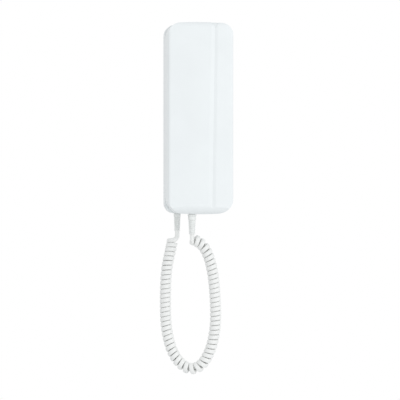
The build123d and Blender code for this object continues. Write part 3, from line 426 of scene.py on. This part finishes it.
class GrowTree:
    """A geometry node tree with named inputs, whose result becomes a plain mesh."""

    def __init__(self, name, inputs):
        self.tree = bpy.data.node_groups.new(name, "GeometryNodeTree")
        face = self.tree.interface
        face.new_socket("Geometry", in_out="INPUT", socket_type="NodeSocketGeometry")
        self.sockets = {}
        for label, kind in inputs.items():
            self.sockets[label] = face.new_socket(label, in_out="INPUT", socket_type="NodeSocket" + kind)
        face.new_socket("Geometry", in_out="OUTPUT", socket_type="NodeSocketGeometry")
        self.source = self.tree.nodes.new("NodeGroupInput")
        self.sink = self.tree.nodes.new("NodeGroupOutput")

    def input(self, label):
        return self.source.outputs[label]

    def node(self, kind, **values):
        """A node, with its settings given in small letters and its sockets by name or number."""
        node = self.tree.nodes.new(kind)
        sockets = values.pop("sockets", {})
        for key, value in values.items():
            setattr(node, key, value)
        for key, value in sockets.items():
            if isinstance(value, bpy.types.NodeSocket):
                self.tree.links.new(value, node.inputs[key])
            else:
                node.inputs[key].default_value = value
        return node

    def maths(self, operation, first, second=0.0):
        node = self.node("ShaderNodeMath", operation=operation, sockets={0: first, 1: second})
        return node.outputs["Value"]

    def triple(self, x, y, z):
        return self.node("ShaderNodeCombineXYZ", sockets={0: x, 1: y, 2: z}).outputs["Vector"]

    def joined(self, *geometries):
        node = self.node("GeometryNodeJoinGeometry")
        for geometry in geometries:
            self.tree.links.new(geometry, node.inputs["Geometry"])
        return node.outputs["Geometry"]

    def grow(self, name, seed_data, values, geometry, material):
        """Close the tree, evaluate it on an object and return the result as a plain mesh object."""
        real = self.node("GeometryNodeRealizeInstances", sockets={"Geometry": geometry})
        paint = self.node("GeometryNodeSetMaterial",
                          sockets={"Geometry": real.outputs["Geometry"], "Material": material})
        self.tree.links.new(paint.outputs["Geometry"], self.sink.inputs["Geometry"])
        seed = bpy.data.objects.new(name + "_seed", seed_data)
        bpy.context.scene.collection.objects.link(seed)
        modifier = seed.modifiers.new("Grow", "NODES")
        modifier.node_group = self.tree
        for label, value in values.items():
            modifier[self.sockets[label].identifier] = value
        bpy.context.view_layer.update()
        grown = seed.evaluated_get(bpy.context.evaluated_depsgraph_get())
        mesh = bpy.data.meshes.new_from_object(grown)
        bpy.data.objects.remove(seed)
        if not mesh.polygons:
            raise RuntimeError(f"{name}: its tree made no faces")
        mesh.materials.clear()
        mesh.materials.append(material)
        return placed(name, mesh)


def placed(name, mesh, smooth_angle=math.radians(35)):
    """A mesh object at the origin, with outward faces and soft shading up to an angle."""
    shape = bmesh.new()
    shape.from_mesh(mesh)
    bmesh.ops.remove_doubles(shape, verts=shape.verts, dist=1e-7)
    bmesh.ops.recalc_face_normals(shape, faces=shape.faces)
    shape.to_mesh(mesh)
    shape.free()
    mesh.shade_smooth()
    mesh.set_sharp_from_angle(angle=smooth_angle)
    obj = bpy.data.objects.new(name, mesh)
    bpy.context.scene.collection.objects.link(obj)
    return obj


# The curly cord.


def route_points():
    """Points of the coil's axis, read from a NURBS spline that the route's corners pull."""
    curve = bpy.data.curves.new("cord_route", "CURVE")
    curve.dimensions = "3D"
    curve.resolution_u = 24
    spline = curve.splines.new("NURBS")
    spline.points.add(len(CORD_ROUTE) - 1)
    for point, corner in zip(spline.points, CORD_ROUTE):
        point.co = (*corner, 1)
    spline.order_u = 3
    spline.use_endpoint_u = True
    guide = bpy.data.objects.new("cord_route", curve)
    bpy.context.scene.collection.objects.link(guide)
    bpy.context.view_layer.update()
    mesh = bpy.data.meshes.new_from_object(guide.evaluated_get(bpy.context.evaluated_depsgraph_get()))
    points = [vertex.co.copy() for vertex in mesh.vertices]
    bpy.data.objects.remove(guide)
    bpy.data.meshes.remove(mesh)
    return points


def coil_points(settings):
    """The helix round the axis, which opens where the axis bends, and the way out at each of its points."""
    axis = route_points()
    last = len(axis) - 1
    ways = [(axis[min(k + 1, last)] - axis[max(k - 1, 0)]).normalized() for k in range(last + 1)]
    side = FRONT
    sides, turned = [], [0.0]
    for k, way in enumerate(ways):
        side = (side - way * side.dot(way)).normalized()
        sides.append(side)
        if k:
            step = (axis[k] - axis[k - 1]).length
            bend = ways[k - 1].cross(way).length / step
            turned.append(turned[-1] + step / (settings.coil_pitch + settings.coil_spread * bend))
    across = ways[-1].cross(sides[-1])
    end = math.atan2(FRONT.dot(across), FRONT.dot(sides[-1])) / math.tau - LAST_TURN_SHARE
    end += round(turned[-1] - end)
    fit = end / turned[-1]
    count = math.ceil((end - FIRST_TURN_SHARE) * POINTS_PER_TURN)
    points, outs = [], []
    k = 1
    for step in range(count + 1):
        turns = FIRST_TURN_SHARE + (end - FIRST_TURN_SHARE) * step / count
        while k < last and turned[k] * fit < turns:
            k += 1
        share = (turns / fit - turned[k - 1]) / (turned[k] - turned[k - 1])
        centre = axis[k - 1].lerp(axis[k], share)
        way = ways[k - 1].lerp(ways[k], share).normalized()
        near = sides[k - 1].lerp(sides[k], share)
        near = (near - way * near.dot(way)).normalized()
        angle = math.tau * turns
        outs.append(near * math.cos(angle) + way.cross(near) * math.sin(angle))
        points.append(centre + outs[-1] * settings.coil_radius)
    return points, outs


def lead_in(end, first, second, drop):
    """Points from a relief's end, straight down for a stretch and then smoothly into the coil."""
    straight = end + DOWN * drop
    way = (second - first).normalized()
    pull = (first - straight).length * LEAD_PULL_SHARE
    curve = interpolate_bezier(straight, straight + DOWN * pull, first - way * pull, first, LEAD_POINTS)
    return [end, end + DOWN * drop / 2] + curve[:-1]


def tilts(path, outs):
    """How far the wire's section turns from level at each point, so that its flat side faces out."""
    last = len(path) - 1
    turns = []
    for k, out in enumerate(outs):
        before = (path[max(k, 1)] - path[max(k, 1) - 1]).normalized()
        after = (path[min(k + 1, last)] - path[min(k + 1, last) - 1]).normalized()
        way = (before + after).normalized()
        level = Vector((way.y, -way.x, 0))
        level = level.normalized() if max(abs(way.x), abs(way.y)) > 0.0001 else Vector((1, 0, 0))
        turns.append(math.atan2(way.dot(level.cross(out)), level.dot(out)))
    return turns


def cord_tree():
    """A tube along a curve, with a flattened section whose edges are rounded."""
    tree = GrowTree("Cord Tube", {"Width": "Float", "Thickness": "Float", "Edge Radius": "Float"})
    section = tree.node("GeometryNodeCurvePrimitiveQuadrilateral", sockets={
        "Width": tree.input("Thickness"), "Height": tree.input("Width")})
    rounded = tree.node("GeometryNodeFilletCurve", mode="POLY", sockets={
        "Curve": section.outputs["Curve"], "Count": 5, "Radius": tree.input("Edge Radius")})
    tube = tree.node("GeometryNodeCurveToMesh", sockets={
        "Curve": tree.input("Geometry"), "Profile Curve": rounded.outputs["Curve"], "Fill Caps": True})
    return tree, tube.outputs["Mesh"]


def relief_end(node):
    """The middle of the face where the cord leaves a relief."""
    low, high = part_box(node)
    return Vector(((low.x + high.x) / 2, (low.y + high.y) / 2, low.z))


class INTERCOM_OT_cord(bpy.types.Operator):
    """Winds the curly cord from the base's relief to the handset's"""

    bl_idname = "intercom.cord"
    bl_label = "Curly Cord"

    def execute(self, context):
        settings = context.scene.intercom_cord
        coil, outs = coil_points(settings)
        base_end = relief_end("base_cord_relief")
        handset_end = relief_end("handset_cord_relief")
        first = lead_in(base_end, coil[0], coil[1], settings.width)
        last = lead_in(handset_end, coil[-1], coil[-2], settings.width)
        path = first + coil + last[::-1]
        outs = [outs[0]] * len(first) + outs + [outs[-1]] * len(last)
        line = bpy.data.curves.new("curly_cord_line", "CURVE")
        line.dimensions = "3D"
        line.twist_mode = "Z_UP"
        spline = line.splines.new("POLY")
        spline.points.add(len(path) - 1)
        for point, place, tilt in zip(spline.points, path, tilts(path, outs)):
            point.co = (*place, 1)
            point.tilt = tilt
        tree, geometry = cord_tree()
        values = {
            "Width": settings.width, "Thickness": settings.thickness, "Edge Radius": settings.edge_radius,
        }
        jacket = moulded("cord_jacket", settings.colour, 0.36, grain=1800, depth=0.000015, variation=0.03)
        cord = tree.grow("coiled_cord", line, values, geometry, jacket)
        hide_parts("curly_cord")
        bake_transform(cord)
        return {"FINISHED"}


# The cord reliefs.


# Rounding of the reliefs' edges, the least height of a collar, and how many sides their rings have.
RIB_EDGE = 0.00035
SLEEVE_EDGE = 0.0004
COLLAR_EDGE = 0.0003
LEAST_COLLAR = 0.0008
RING_SIDES = 64
NECK_SIDES = 48


def relief_tree():
    """A tapered core with a plain sleeve and ribs, and a collar, a neck and a flange above it."""
    tree = GrowTree("Ribbed Relief", {
        "Length": "Float", "Root Radius": "Float", "Tip Radius": "Float", "Plain Length": "Float",
        "Rib Count": "Int", "Rib Pitch": "Float", "Groove Width": "Float", "Groove Depth": "Float",
        "Collar Height": "Float", "Collar Radius": "Float", "Neck Radius": "Float",
        "Flange Radius": "Float", "Flange Thickness": "Float", "Top": "Float", "Place": "Vector",
    })
    length, root, tip = tree.input("Length"), tree.input("Root Radius"), tree.input("Tip Radius")
    depth, collar = tree.input("Groove Depth"), tree.input("Collar Height")
    core = tree.node("GeometryNodeMeshCone", sockets={
        "Vertices": RING_SIDES, "Radius Top": tree.maths("SUBTRACT", root, depth),
        "Radius Bottom": tree.maths("SUBTRACT", tip, depth), "Depth": length})
    rib_width = tree.maths("SUBTRACT", tree.input("Rib Pitch"), tree.input("Groove Width"))

    def half(value):
        return tree.maths("DIVIDE", value, 2.0)

    def raised(geometry, height):
        """A geometry moved up from the relief's lower end."""
        node = tree.node("GeometryNodeTransform", sockets={
            "Geometry": geometry, "Translation": tree.triple(0.0, 0.0, height)})
        return node.outputs["Geometry"]

    def ring(outside, height, edge):
        """A band with rounded edges that covers the groove's depth and reaches a little further in."""
        section = tree.node("GeometryNodeCurvePrimitiveQuadrilateral", sockets={
            "Width": tree.maths("MULTIPLY", depth, 2.0), "Height": height})
        rounded = tree.node("GeometryNodeFilletCurve", mode="POLY", sockets={
            "Curve": section.outputs["Curve"], "Count": 4, "Radius": edge})
        round_path = tree.node("GeometryNodeCurvePrimitiveCircle", sockets={
            "Resolution": RING_SIDES, "Radius": tree.maths("SUBTRACT", outside, depth)})
        band = tree.node("GeometryNodeCurveToMesh", sockets={
            "Curve": round_path.outputs["Curve"], "Profile Curve": rounded.outputs["Curve"]})
        return band.outputs["Mesh"]

    plain = tree.input("Plain Length")
    first = tree.maths("ADD", tree.maths("ADD", plain, tree.input("Groove Width")), half(rib_width))
    row = tree.node("GeometryNodeMeshLine", sockets={
        "Count": tree.input("Rib Count"),
        "Start Location": tree.triple(0.0, 0.0, tree.maths("SUBTRACT", length, first)),
        "Offset": tree.triple(0.0, 0.0, tree.maths("MULTIPLY", tree.input("Rib Pitch"), -1.0))})
    position = tree.node("GeometryNodeInputPosition").outputs["Position"]
    height = tree.node("ShaderNodeSeparateXYZ", sockets={0: position}).outputs["Z"]
    share = tree.maths("DIVIDE", height, length)
    taper = tree.maths("ADD", tree.maths("MULTIPLY", share, root),
                       tree.maths("MULTIPLY", tree.maths("SUBTRACT", 1.0, share), tip))
    size = tree.maths("DIVIDE", taper, root)
    ribs = tree.node("GeometryNodeInstanceOnPoints", sockets={
        "Points": row.outputs["Mesh"], "Instance": ring(root, rib_width, RIB_EDGE),
        "Scale": tree.triple(size, size, 1.0)})
    sleeve = raised(ring(root, plain, SLEEVE_EDGE), tree.maths("SUBTRACT", length, half(plain)))
    collar_height = tree.maths("MAXIMUM", collar, LEAST_COLLAR)
    collar_ring = raised(ring(tree.input("Collar Radius"), collar_height, COLLAR_EDGE),
                         tree.maths("ADD", length, half(collar)))
    neck_height = tree.maths("SUBTRACT", tree.input("Top"), length)
    neck = tree.node("GeometryNodeMeshCylinder", sockets={
        "Vertices": NECK_SIDES, "Radius": tree.input("Neck Radius"), "Depth": neck_height})
    neck_placed = raised(neck.outputs["Mesh"], tree.maths("ADD", length, half(neck_height)))
    thickness = tree.input("Flange Thickness")
    flange = raised(ring(tree.input("Flange Radius"), thickness, COLLAR_EDGE),
                    tree.maths("SUBTRACT", tree.input("Top"), half(thickness)))
    whole = tree.joined(core.outputs["Mesh"], ribs.outputs["Instances"], sleeve, collar_ring,
                        neck_placed, flange)
    moved = tree.node("GeometryNodeTransform", sockets={
        "Geometry": whole, "Translation": tree.input("Place")})
    return tree, moved.outputs["Geometry"]


class INTERCOM_OT_reliefs(bpy.types.Operator):
    """Makes the two ribbed cord reliefs"""

    bl_idname = "intercom.reliefs"
    bl_label = "Cord Reliefs"

    def execute(self, context):
        settings = context.scene.intercom_relief
        skin = soft("relief_skin", settings.colour)
        ribbed = settings.rib_count * settings.rib_pitch
        jobs = [
            ("base_cord_relief", "base", settings.base_length, settings.base_root_radius,
             settings.base_tip_radius, 0.0, settings.base_root_radius),
            ("handset_cord_relief", "handset", settings.handset_length, settings.handset_root_radius,
             settings.handset_tip_radius, settings.collar_height, settings.collar_radius),
        ]
        for node, body, length, root, tip, collar, collar_radius in jobs:
            low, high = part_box(node)
            tree, geometry = relief_tree()
            values = {
                "Length": length, "Root Radius": root, "Tip Radius": tip,
                "Plain Length": length - ribbed, "Rib Count": settings.rib_count,
                "Rib Pitch": settings.rib_pitch, "Groove Width": settings.groove_width,
                "Groove Depth": settings.groove_depth,
                "Collar Height": collar, "Collar Radius": collar_radius,
                "Neck Radius": settings.neck_radius, "Flange Radius": settings.flange_radius,
                "Flange Thickness": settings.flange_thickness,
                "Top": high.z - low.z, "Place": relief_end(node),
            }
            piece = tree.grow("ribbed_" + node, bpy.data.meshes.new(node), values, geometry, skin)
            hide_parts(node)
            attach(piece, body)
        return {"FINISHED"}


# The screws.


# Length, width and depth of each bar of the cross recess, and the core's share of the thread's radius.
RECESS_BAR = (0.0031, 0.00065, 0.0018)
CORE_SHARE = 0.78
# Height and depth of the wells' floors in the base, where its screws' heads lie.
WELL_FLOORS = ((0.062, -0.0108), (-0.066, -0.0128))


def screw_tree():
    """Countersunk screws with a cross recess and thread ridges, one on each point of the seed mesh."""
    tree = GrowTree("Shell Screws", {
        "Radius": "Float", "Length": "Float", "Head Radius": "Float", "Head Height": "Float",
        "Thread Pitch": "Float", "Turn": "Vector"})
    radius, length = tree.input("Radius"), tree.input("Length")
    head_radius, head_height = tree.input("Head Radius"), tree.input("Head Height")
    core = tree.maths("MULTIPLY", radius, CORE_SHARE)
    head = tree.node("GeometryNodeMeshCone", sockets={
        "Vertices": 40, "Radius Top": head_radius, "Radius Bottom": core, "Depth": head_height})
    head_placed = tree.node("GeometryNodeTransform", sockets={
        "Geometry": head.outputs["Mesh"],
        "Translation": tree.triple(0.0, 0.0, tree.maths("MULTIPLY", head_height, -1.0))})
    bars = []
    for turn in (0.0, math.pi / 2):
        bar = tree.node("GeometryNodeMeshCube", sockets={"Size": RECESS_BAR})
        bars.append(tree.node("GeometryNodeTransform", sockets={
            "Geometry": bar.outputs["Mesh"], "Rotation": (0.0, 0.0, turn)}).outputs["Geometry"])
    cut = tree.node("GeometryNodeMeshBoolean", operation="DIFFERENCE",
                    sockets={"Mesh 1": head_placed.outputs["Geometry"]})
    for bar in bars:
        tree.tree.links.new(bar, cut.inputs["Mesh 2"])
    shank_length = tree.maths("SUBTRACT", length, head_height)
    shank = tree.node("GeometryNodeMeshCylinder", sockets={
        "Vertices": 24, "Radius": core, "Depth": shank_length})
    shank_placed = tree.node("GeometryNodeTransform", sockets={
        "Geometry": shank.outputs["Mesh"],
        "Translation": tree.triple(0.0, 0.0, tree.maths(
            "SUBTRACT", tree.maths("DIVIDE", shank_length, -2.0), head_height))})
    ridge_path = tree.node("GeometryNodeCurvePrimitiveCircle", sockets={"Resolution": 24, "Radius": core})
    section = tree.node("GeometryNodeCurvePrimitiveCircle", sockets={
        "Resolution": 4, "Radius": tree.maths("SUBTRACT", radius, core)})
    ridge = tree.node("GeometryNodeCurveToMesh", sockets={
        "Curve": ridge_path.outputs["Curve"], "Profile Curve": section.outputs["Curve"]})
    count = tree.maths("FLOOR", tree.maths("SUBTRACT", tree.maths(
        "DIVIDE", shank_length, tree.input("Thread Pitch")), 1.0))
    row = tree.node("GeometryNodeMeshLine", sockets={
        "Count": count,
        "Start Location": tree.triple(0.0, 0.0, tree.maths(
            "SUBTRACT", tree.maths("MULTIPLY", tree.input("Thread Pitch"), -1.0), head_height)),
        "Offset": tree.triple(0.0, 0.0, tree.maths("MULTIPLY", tree.input("Thread Pitch"), -1.0))})
    thread = tree.node("GeometryNodeInstanceOnPoints", sockets={
        "Points": row.outputs["Mesh"], "Instance": ridge.outputs["Mesh"]})
    one = tree.joined(cut.outputs["Mesh"], shank_placed.outputs["Geometry"], thread.outputs["Instances"])
    turned = tree.node("GeometryNodeTransform", sockets={"Geometry": one, "Rotation": tree.input("Turn")})
    each = tree.node("GeometryNodeInstanceOnPoints", sockets={
        "Points": tree.input("Geometry"), "Instance": turned.outputs["Geometry"]})
    return tree, each.outputs["Instances"]


class INTERCOM_OT_screws(bpy.types.Operator):
    """Makes the screws that hold the two shells, with recessed heads and threads"""

    bl_idname = "intercom.screws"
    bl_label = "Screws"

    def execute(self, context):
        settings = context.scene.intercom_screw
        plated = metal("zinc_plate", (0.55, 0.56, 0.57))
        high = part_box("handset_screws")[1]
        reach = high.z - settings.head_radius
        jobs = [
            ("housing_screws", "base", [(0, y, z) for z, y in WELL_FLOORS], math.pi / 2),
            ("handset_screws", "handset", [(0, high.y, side * reach) for side in (-1, 1)], -math.pi / 2),
        ]
        for node, body, places, turn in jobs:
            points = bpy.data.meshes.new(node + "_places")
            points.from_pydata(places, [], [])
            tree, geometry = screw_tree()
            values = {
                "Radius": settings.radius, "Length": settings.length, "Head Radius": settings.head_radius,
                "Head Height": settings.head_height, "Thread Pitch": settings.thread_pitch,
                "Turn": (turn, 0.0, 0.0),
            }
            piece = tree.grow("threaded_" + node, points, values, geometry, plated)
            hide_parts(node)
            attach(piece, body)
        finish_nodes(plated, "board_screws", "terminal_screws", "weight_screws")
        return {"FINISHED"}


# The shells, the controls and the inner pieces.


class INTERCOM_OT_shells(bpy.types.Operator):
    """Gives the moulded shells and the back plate their finish"""

    bl_idname = "intercom.shells"
    bl_label = "Shells"

    def execute(self, context):
        settings = context.scene.intercom_shell
        face = moulded("handset_gloss", settings.colour, settings.roughness)
        inside = moulded("cup_satin", tinted(settings.colour, 0.99), settings.roughness + 0.05, grain=2000)
        outside = tinted(settings.colour, 0.985)
        housing = moulded("housing_satin", outside, settings.roughness + 0.04, grain=2200)
        plate = moulded("plate_grain", settings.plate_colour, 0.6, grain=1300, depth=0.00004, variation=0.04)
        finish_nodes(face, "handset_outer_shell")
        finish_nodes(inside, "handset_inner_shell")
        finish_nodes(housing, "base_housing")
        finish_nodes(plate, "base_back_plate")
        return {"FINISHED"}


class INTERCOM_OT_controls(bpy.types.Operator):
    """Gives the plunger, the door release button and the slider their finish"""

    bl_idname = "intercom.controls"
    bl_label = "Controls"

    def execute(self, context):
        settings = context.scene.intercom_shell
        nylon = moulded("plunger_nylon", tinted(settings.colour, 0.93), 0.35, grain=1500)
        finish_nodes(nylon, "hook_plunger")
        grey = moulded("button_grain", settings.button_colour, 0.48, grain=1700,
                       depth=0.00004, variation=0.05)
        finish_nodes(grey, "door_release_button", "volume_slider")
        return {"FINISHED"}


def spring_tree():
    """A compression spring along Y, wound from one round wire."""
    tree = GrowTree("Compression Spring", {
        "Radius": "Float", "Length": "Float", "Turns": "Float", "Wire Radius": "Float", "Place": "Vector"})
    winding = tree.node("GeometryNodeCurveSpiral", sockets={
        "Resolution": 28, "Rotations": tree.input("Turns"), "Start Radius": tree.input("Radius"),
        "End Radius": tree.input("Radius"), "Height": tree.input("Length")})
    ring = tree.node("GeometryNodeCurvePrimitiveCircle", sockets={
        "Resolution": 12, "Radius": tree.input("Wire Radius")})
    wire = tree.node("GeometryNodeCurveToMesh", sockets={
        "Curve": winding.outputs["Curve"], "Profile Curve": ring.outputs["Curve"], "Fill Caps": True})
    turned = tree.node("GeometryNodeTransform", sockets={
        "Geometry": wire.outputs["Mesh"], "Rotation": (math.pi / 2, 0.0, 0.0),
        "Translation": tree.input("Place")})
    return tree, turned.outputs["Geometry"]


class INTERCOM_OT_springs(bpy.types.Operator):
    """Winds the springs of the plunger and the button"""

    bl_idname = "intercom.springs"
    bl_label = "Springs"

    def execute(self, context):
        settings = context.scene.intercom_spring
        steel = metal("spring_wire", (0.6, 0.6, 0.61), 0.26, (1, 30, 1))
        jobs = [
            ("hook_spring", "hook_plunger", settings.hook_turns, settings.hook_wire),
            ("release_spring", "door_release_button", settings.release_turns, settings.release_wire),
        ]
        for node, body, turns, wire in jobs:
            low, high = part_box(node)
            foot = Vector(((low.x + high.x) / 2, high.y, (low.z + high.z) / 2))
            tree, geometry = spring_tree()
            values = {
                "Radius": (high.x - low.x - wire) / 2, "Length": high.y - low.y - wire,
                "Turns": float(turns), "Wire Radius": wire / 2,
                "Place": foot - Vector((0, wire / 2, 0)),
            }
            piece = tree.grow("wound_" + node, bpy.data.meshes.new(node), values, geometry, steel)
            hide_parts(node)
            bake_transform(piece)
        return {"FINISHED"}


class INTERCOM_OT_electronics(bpy.types.Operator):
    """Gives the board, the speaker, the receiver and the other inner pieces their finish"""

    bl_idname = "intercom.electronics"
    bl_label = "Inner Pieces"

    def execute(self, context):
        finish_nodes(circuit_board("solder_mask"), "base_circuit_board")
        finish_nodes(moulded("capacitor_sleeve", (0.02, 0.025, 0.06), 0.3, variation=0.1),
                     "board_capacitors")
        finish_nodes(moulded("chip_resin", (0.02, 0.02, 0.022), 0.55, variation=0.15), "board_chip")
        finish_nodes(moulded("terminal_resin", (0.03, 0.16, 0.06), 0.4, variation=0.08), "terminal_block")
        finish_nodes(moulded("switch_resin", (0.025, 0.025, 0.027), 0.5, variation=0.12),
                     "hook_switch_body", "release_switch_body", "volume_switch_body", "receiver_capsule")
        finish_nodes(metal("speaker_steel", (0.5, 0.5, 0.52), 0.35), "call_speaker_frame")
        finish_nodes(foam("cone_paper", (0.03, 0.03, 0.03)), "call_speaker_cone")
        finish_nodes(metal("magnet_ferrite", (0.05, 0.05, 0.053), 0.6, (1, 1, 1)),
                     "call_speaker_magnet", "receiver_magnet")
        finish_nodes(moulded("diaphragm_film", (0.6, 0.58, 0.48), 0.2, variation=0.1), "receiver_diaphragm")
        finish_nodes(foam("gasket_foam", (0.03, 0.03, 0.032)), "receiver_gasket")
        finish_nodes(soft("boot_rubber", (0.02, 0.02, 0.021)), "microphone_boot")
        finish_nodes(metal("microphone_can", (0.7, 0.71, 0.73), 0.28), "microphone_capsule")
        finish_nodes(metal("weight_plate", (0.42, 0.42, 0.44), 0.4), "handset_weight")
        cores = [(0.45, 0.02, 0.02), (0.02, 0.2, 0.04), (0.6, 0.45, 0.03), (0.02, 0.02, 0.02)]
        finish_nodes(banded("core_colours", cores, 0.0028), "base_leads", "handset_leads")
        return {"FINISHED"}


# The stage.


# What the camera aims at, what the lamps point at, where the lamps stand and how wide they are.
CAMERA_TARGET = Vector((0.0, -0.040, -0.0894))
LAMP_TARGET = Vector((0.0, -0.02, -0.05))
KEY_PLACE = Vector((1.05, -1.35, 0.75))
KEY_WIDTH = 1.1
FRONT_PLACE = Vector((0.45, -1.8, -0.75))
FRONT_WIDTH = 1.2
FLOOR_HALF_WIDTH = 2.5


def facing(place, way):
    """The matrix of something that stands at a place and looks along a way."""
    return Matrix.Translation(place) @ way.to_track_quat("-Z", "Y").to_matrix().to_4x4()


def lamp(name, place, size, power):
    """A square lamp that points at the object."""
    data = bpy.data.lights.new(name, "AREA")
    data.size = size
    data.energy = power
    light = bpy.data.objects.new(name, data)
    light.matrix_world = facing(place, LAMP_TARGET - place)
    bpy.context.scene.collection.objects.link(light)


def surroundings(scene, strength):
    """White where the camera looks past the object, and soft light from all round."""
    world = bpy.data.worlds.new("surroundings")
    world.use_nodes = True
    scene.world = world
    tree = world.node_tree
    ambient = tree.nodes["Background"]
    ambient.inputs["Color"].default_value = (0.97, 0.985, 1.0, 1)
    ambient.inputs["Strength"].default_value = strength
    white = tree.nodes.new("ShaderNodeBackground")
    white.inputs["Color"].default_value = (1, 1, 1, 1)
    white.inputs["Strength"].default_value = 1.0
    rays = tree.nodes.new("ShaderNodeLightPath")
    seen = tree.nodes.new("ShaderNodeMath")
    seen.operation = "MAXIMUM"
    tree.links.new(rays.outputs["Is Camera Ray"], seen.inputs[0])
    tree.links.new(rays.outputs["Is Transmission Ray"], seen.inputs[1])
    glossy = tree.nodes.new("ShaderNodeMath")
    glossy.operation = "MAXIMUM"
    tree.links.new(seen.outputs["Value"], glossy.inputs[0])
    tree.links.new(rays.outputs["Is Glossy Ray"], glossy.inputs[1])
    mix = tree.nodes.new("ShaderNodeMixShader")
    tree.links.new(glossy.outputs["Value"], mix.inputs[0])
    tree.links.new(ambient.outputs["Background"], mix.inputs[1])
    tree.links.new(white.outputs["Background"], mix.inputs[2])
    tree.links.new(mix.outputs["Shader"], tree.nodes["World Output"].inputs["Surface"])


class INTERCOM_OT_stage(bpy.types.Operator):
    """Sets the camera, the lamps, the white surroundings and the floor"""

    bl_idname = "intercom.stage"
    bl_label = "Stage"

    def execute(self, context):
        settings = context.scene.intercom_stage
        scene = context.scene
        scene.view_settings.view_transform = "Standard"
        back = Vector((-math.sin(settings.yaw), -math.cos(settings.yaw), 0))
        data = bpy.data.cameras.new("camera")
        data.lens = data.sensor_width * settings.distance / settings.view_width
        camera = bpy.data.objects.new("camera", data)
        camera.matrix_world = facing(CAMERA_TARGET + back * settings.distance, -back)
        scene.collection.objects.link(camera)
        scene.camera = camera
        lamp("key", KEY_PLACE, KEY_WIDTH, settings.key)
        lamp("front", FRONT_PLACE, FRONT_WIDTH, settings.front)
        surroundings(scene, settings.ambient)
        mesh = bpy.data.meshes.new("floor")
        half, height = FLOOR_HALF_WIDTH, settings.floor_height
        mesh.from_pydata([(-half, -half, height), (half, -half, height), (half, half, height),
                          (-half, half, height)], [], [(0, 1, 2, 3)])
        floor = bpy.data.objects.new("floor", mesh)
        mesh.materials.append(moulded("floor_paint", (0.86, 0.86, 0.86), 0.8, grain=60, depth=0.0002))
        scene.collection.objects.link(floor)
        return {"FINISHED"}


class INTERCOM_PT_panel(bpy.types.Panel):
    """Lists the intercom's settings and its operators"""

    bl_label = "Intercom"
    bl_idname = "INTERCOM_PT_panel"
    bl_space_type = "VIEW_3D"
    bl_region_type = "UI"
    bl_category = "Intercom"

    def draw(self, context):
        for operator, settings in STEPS:
            box = self.layout.box()
            box.operator(operator.bl_idname)
            if settings:
                group = getattr(context.scene, settings)
                for name in group.bl_rna.properties.keys():
                    if name not in {"rna_type", "name"}:
                        box.prop(group, name)


GROUPS = {
    "intercom_cord": IntercomCordSettings,
    "intercom_relief": IntercomReliefSettings,
    "intercom_shell": IntercomShellSettings,
    "intercom_screw": IntercomScrewSettings,
    "intercom_spring": IntercomSpringSettings,
    "intercom_stage": IntercomStageSettings,
}
STEPS = [
    (INTERCOM_OT_stage, "intercom_stage"),
    (INTERCOM_OT_cord, "intercom_cord"),
    (INTERCOM_OT_reliefs, "intercom_relief"),
    (INTERCOM_OT_shells, "intercom_shell"),
    (INTERCOM_OT_controls, None),
    (INTERCOM_OT_springs, "intercom_spring"),
    (INTERCOM_OT_screws, "intercom_screw"),
    (INTERCOM_OT_electronics, None),
]


def register():
    for name, group in GROUPS.items():
        bpy.utils.register_class(group)
        setattr(bpy.types.Scene, name, PointerProperty(type=group))
    for operator, _ in STEPS:
        bpy.utils.register_class(operator)
    bpy.utils.register_class(INTERCOM_PT_panel)


def unregister():
    bpy.utils.unregister_class(INTERCOM_PT_panel)
    for operator, _ in reversed(STEPS):
        bpy.utils.unregister_class(operator)
    for name, group in GROUPS.items():
        delattr(bpy.types.Scene, name)
        bpy.utils.unregister_class(group)


def main():
    register()
    bpy.ops.intercom.stage()
    bpy.ops.intercom.cord()
    bpy.ops.intercom.reliefs()
    bpy.ops.intercom.shells()
    bpy.ops.intercom.controls()
    bpy.ops.intercom.springs()
    bpy.ops.intercom.screws()
    bpy.ops.intercom.electronics()


if __name__ == "__main__":
    main()
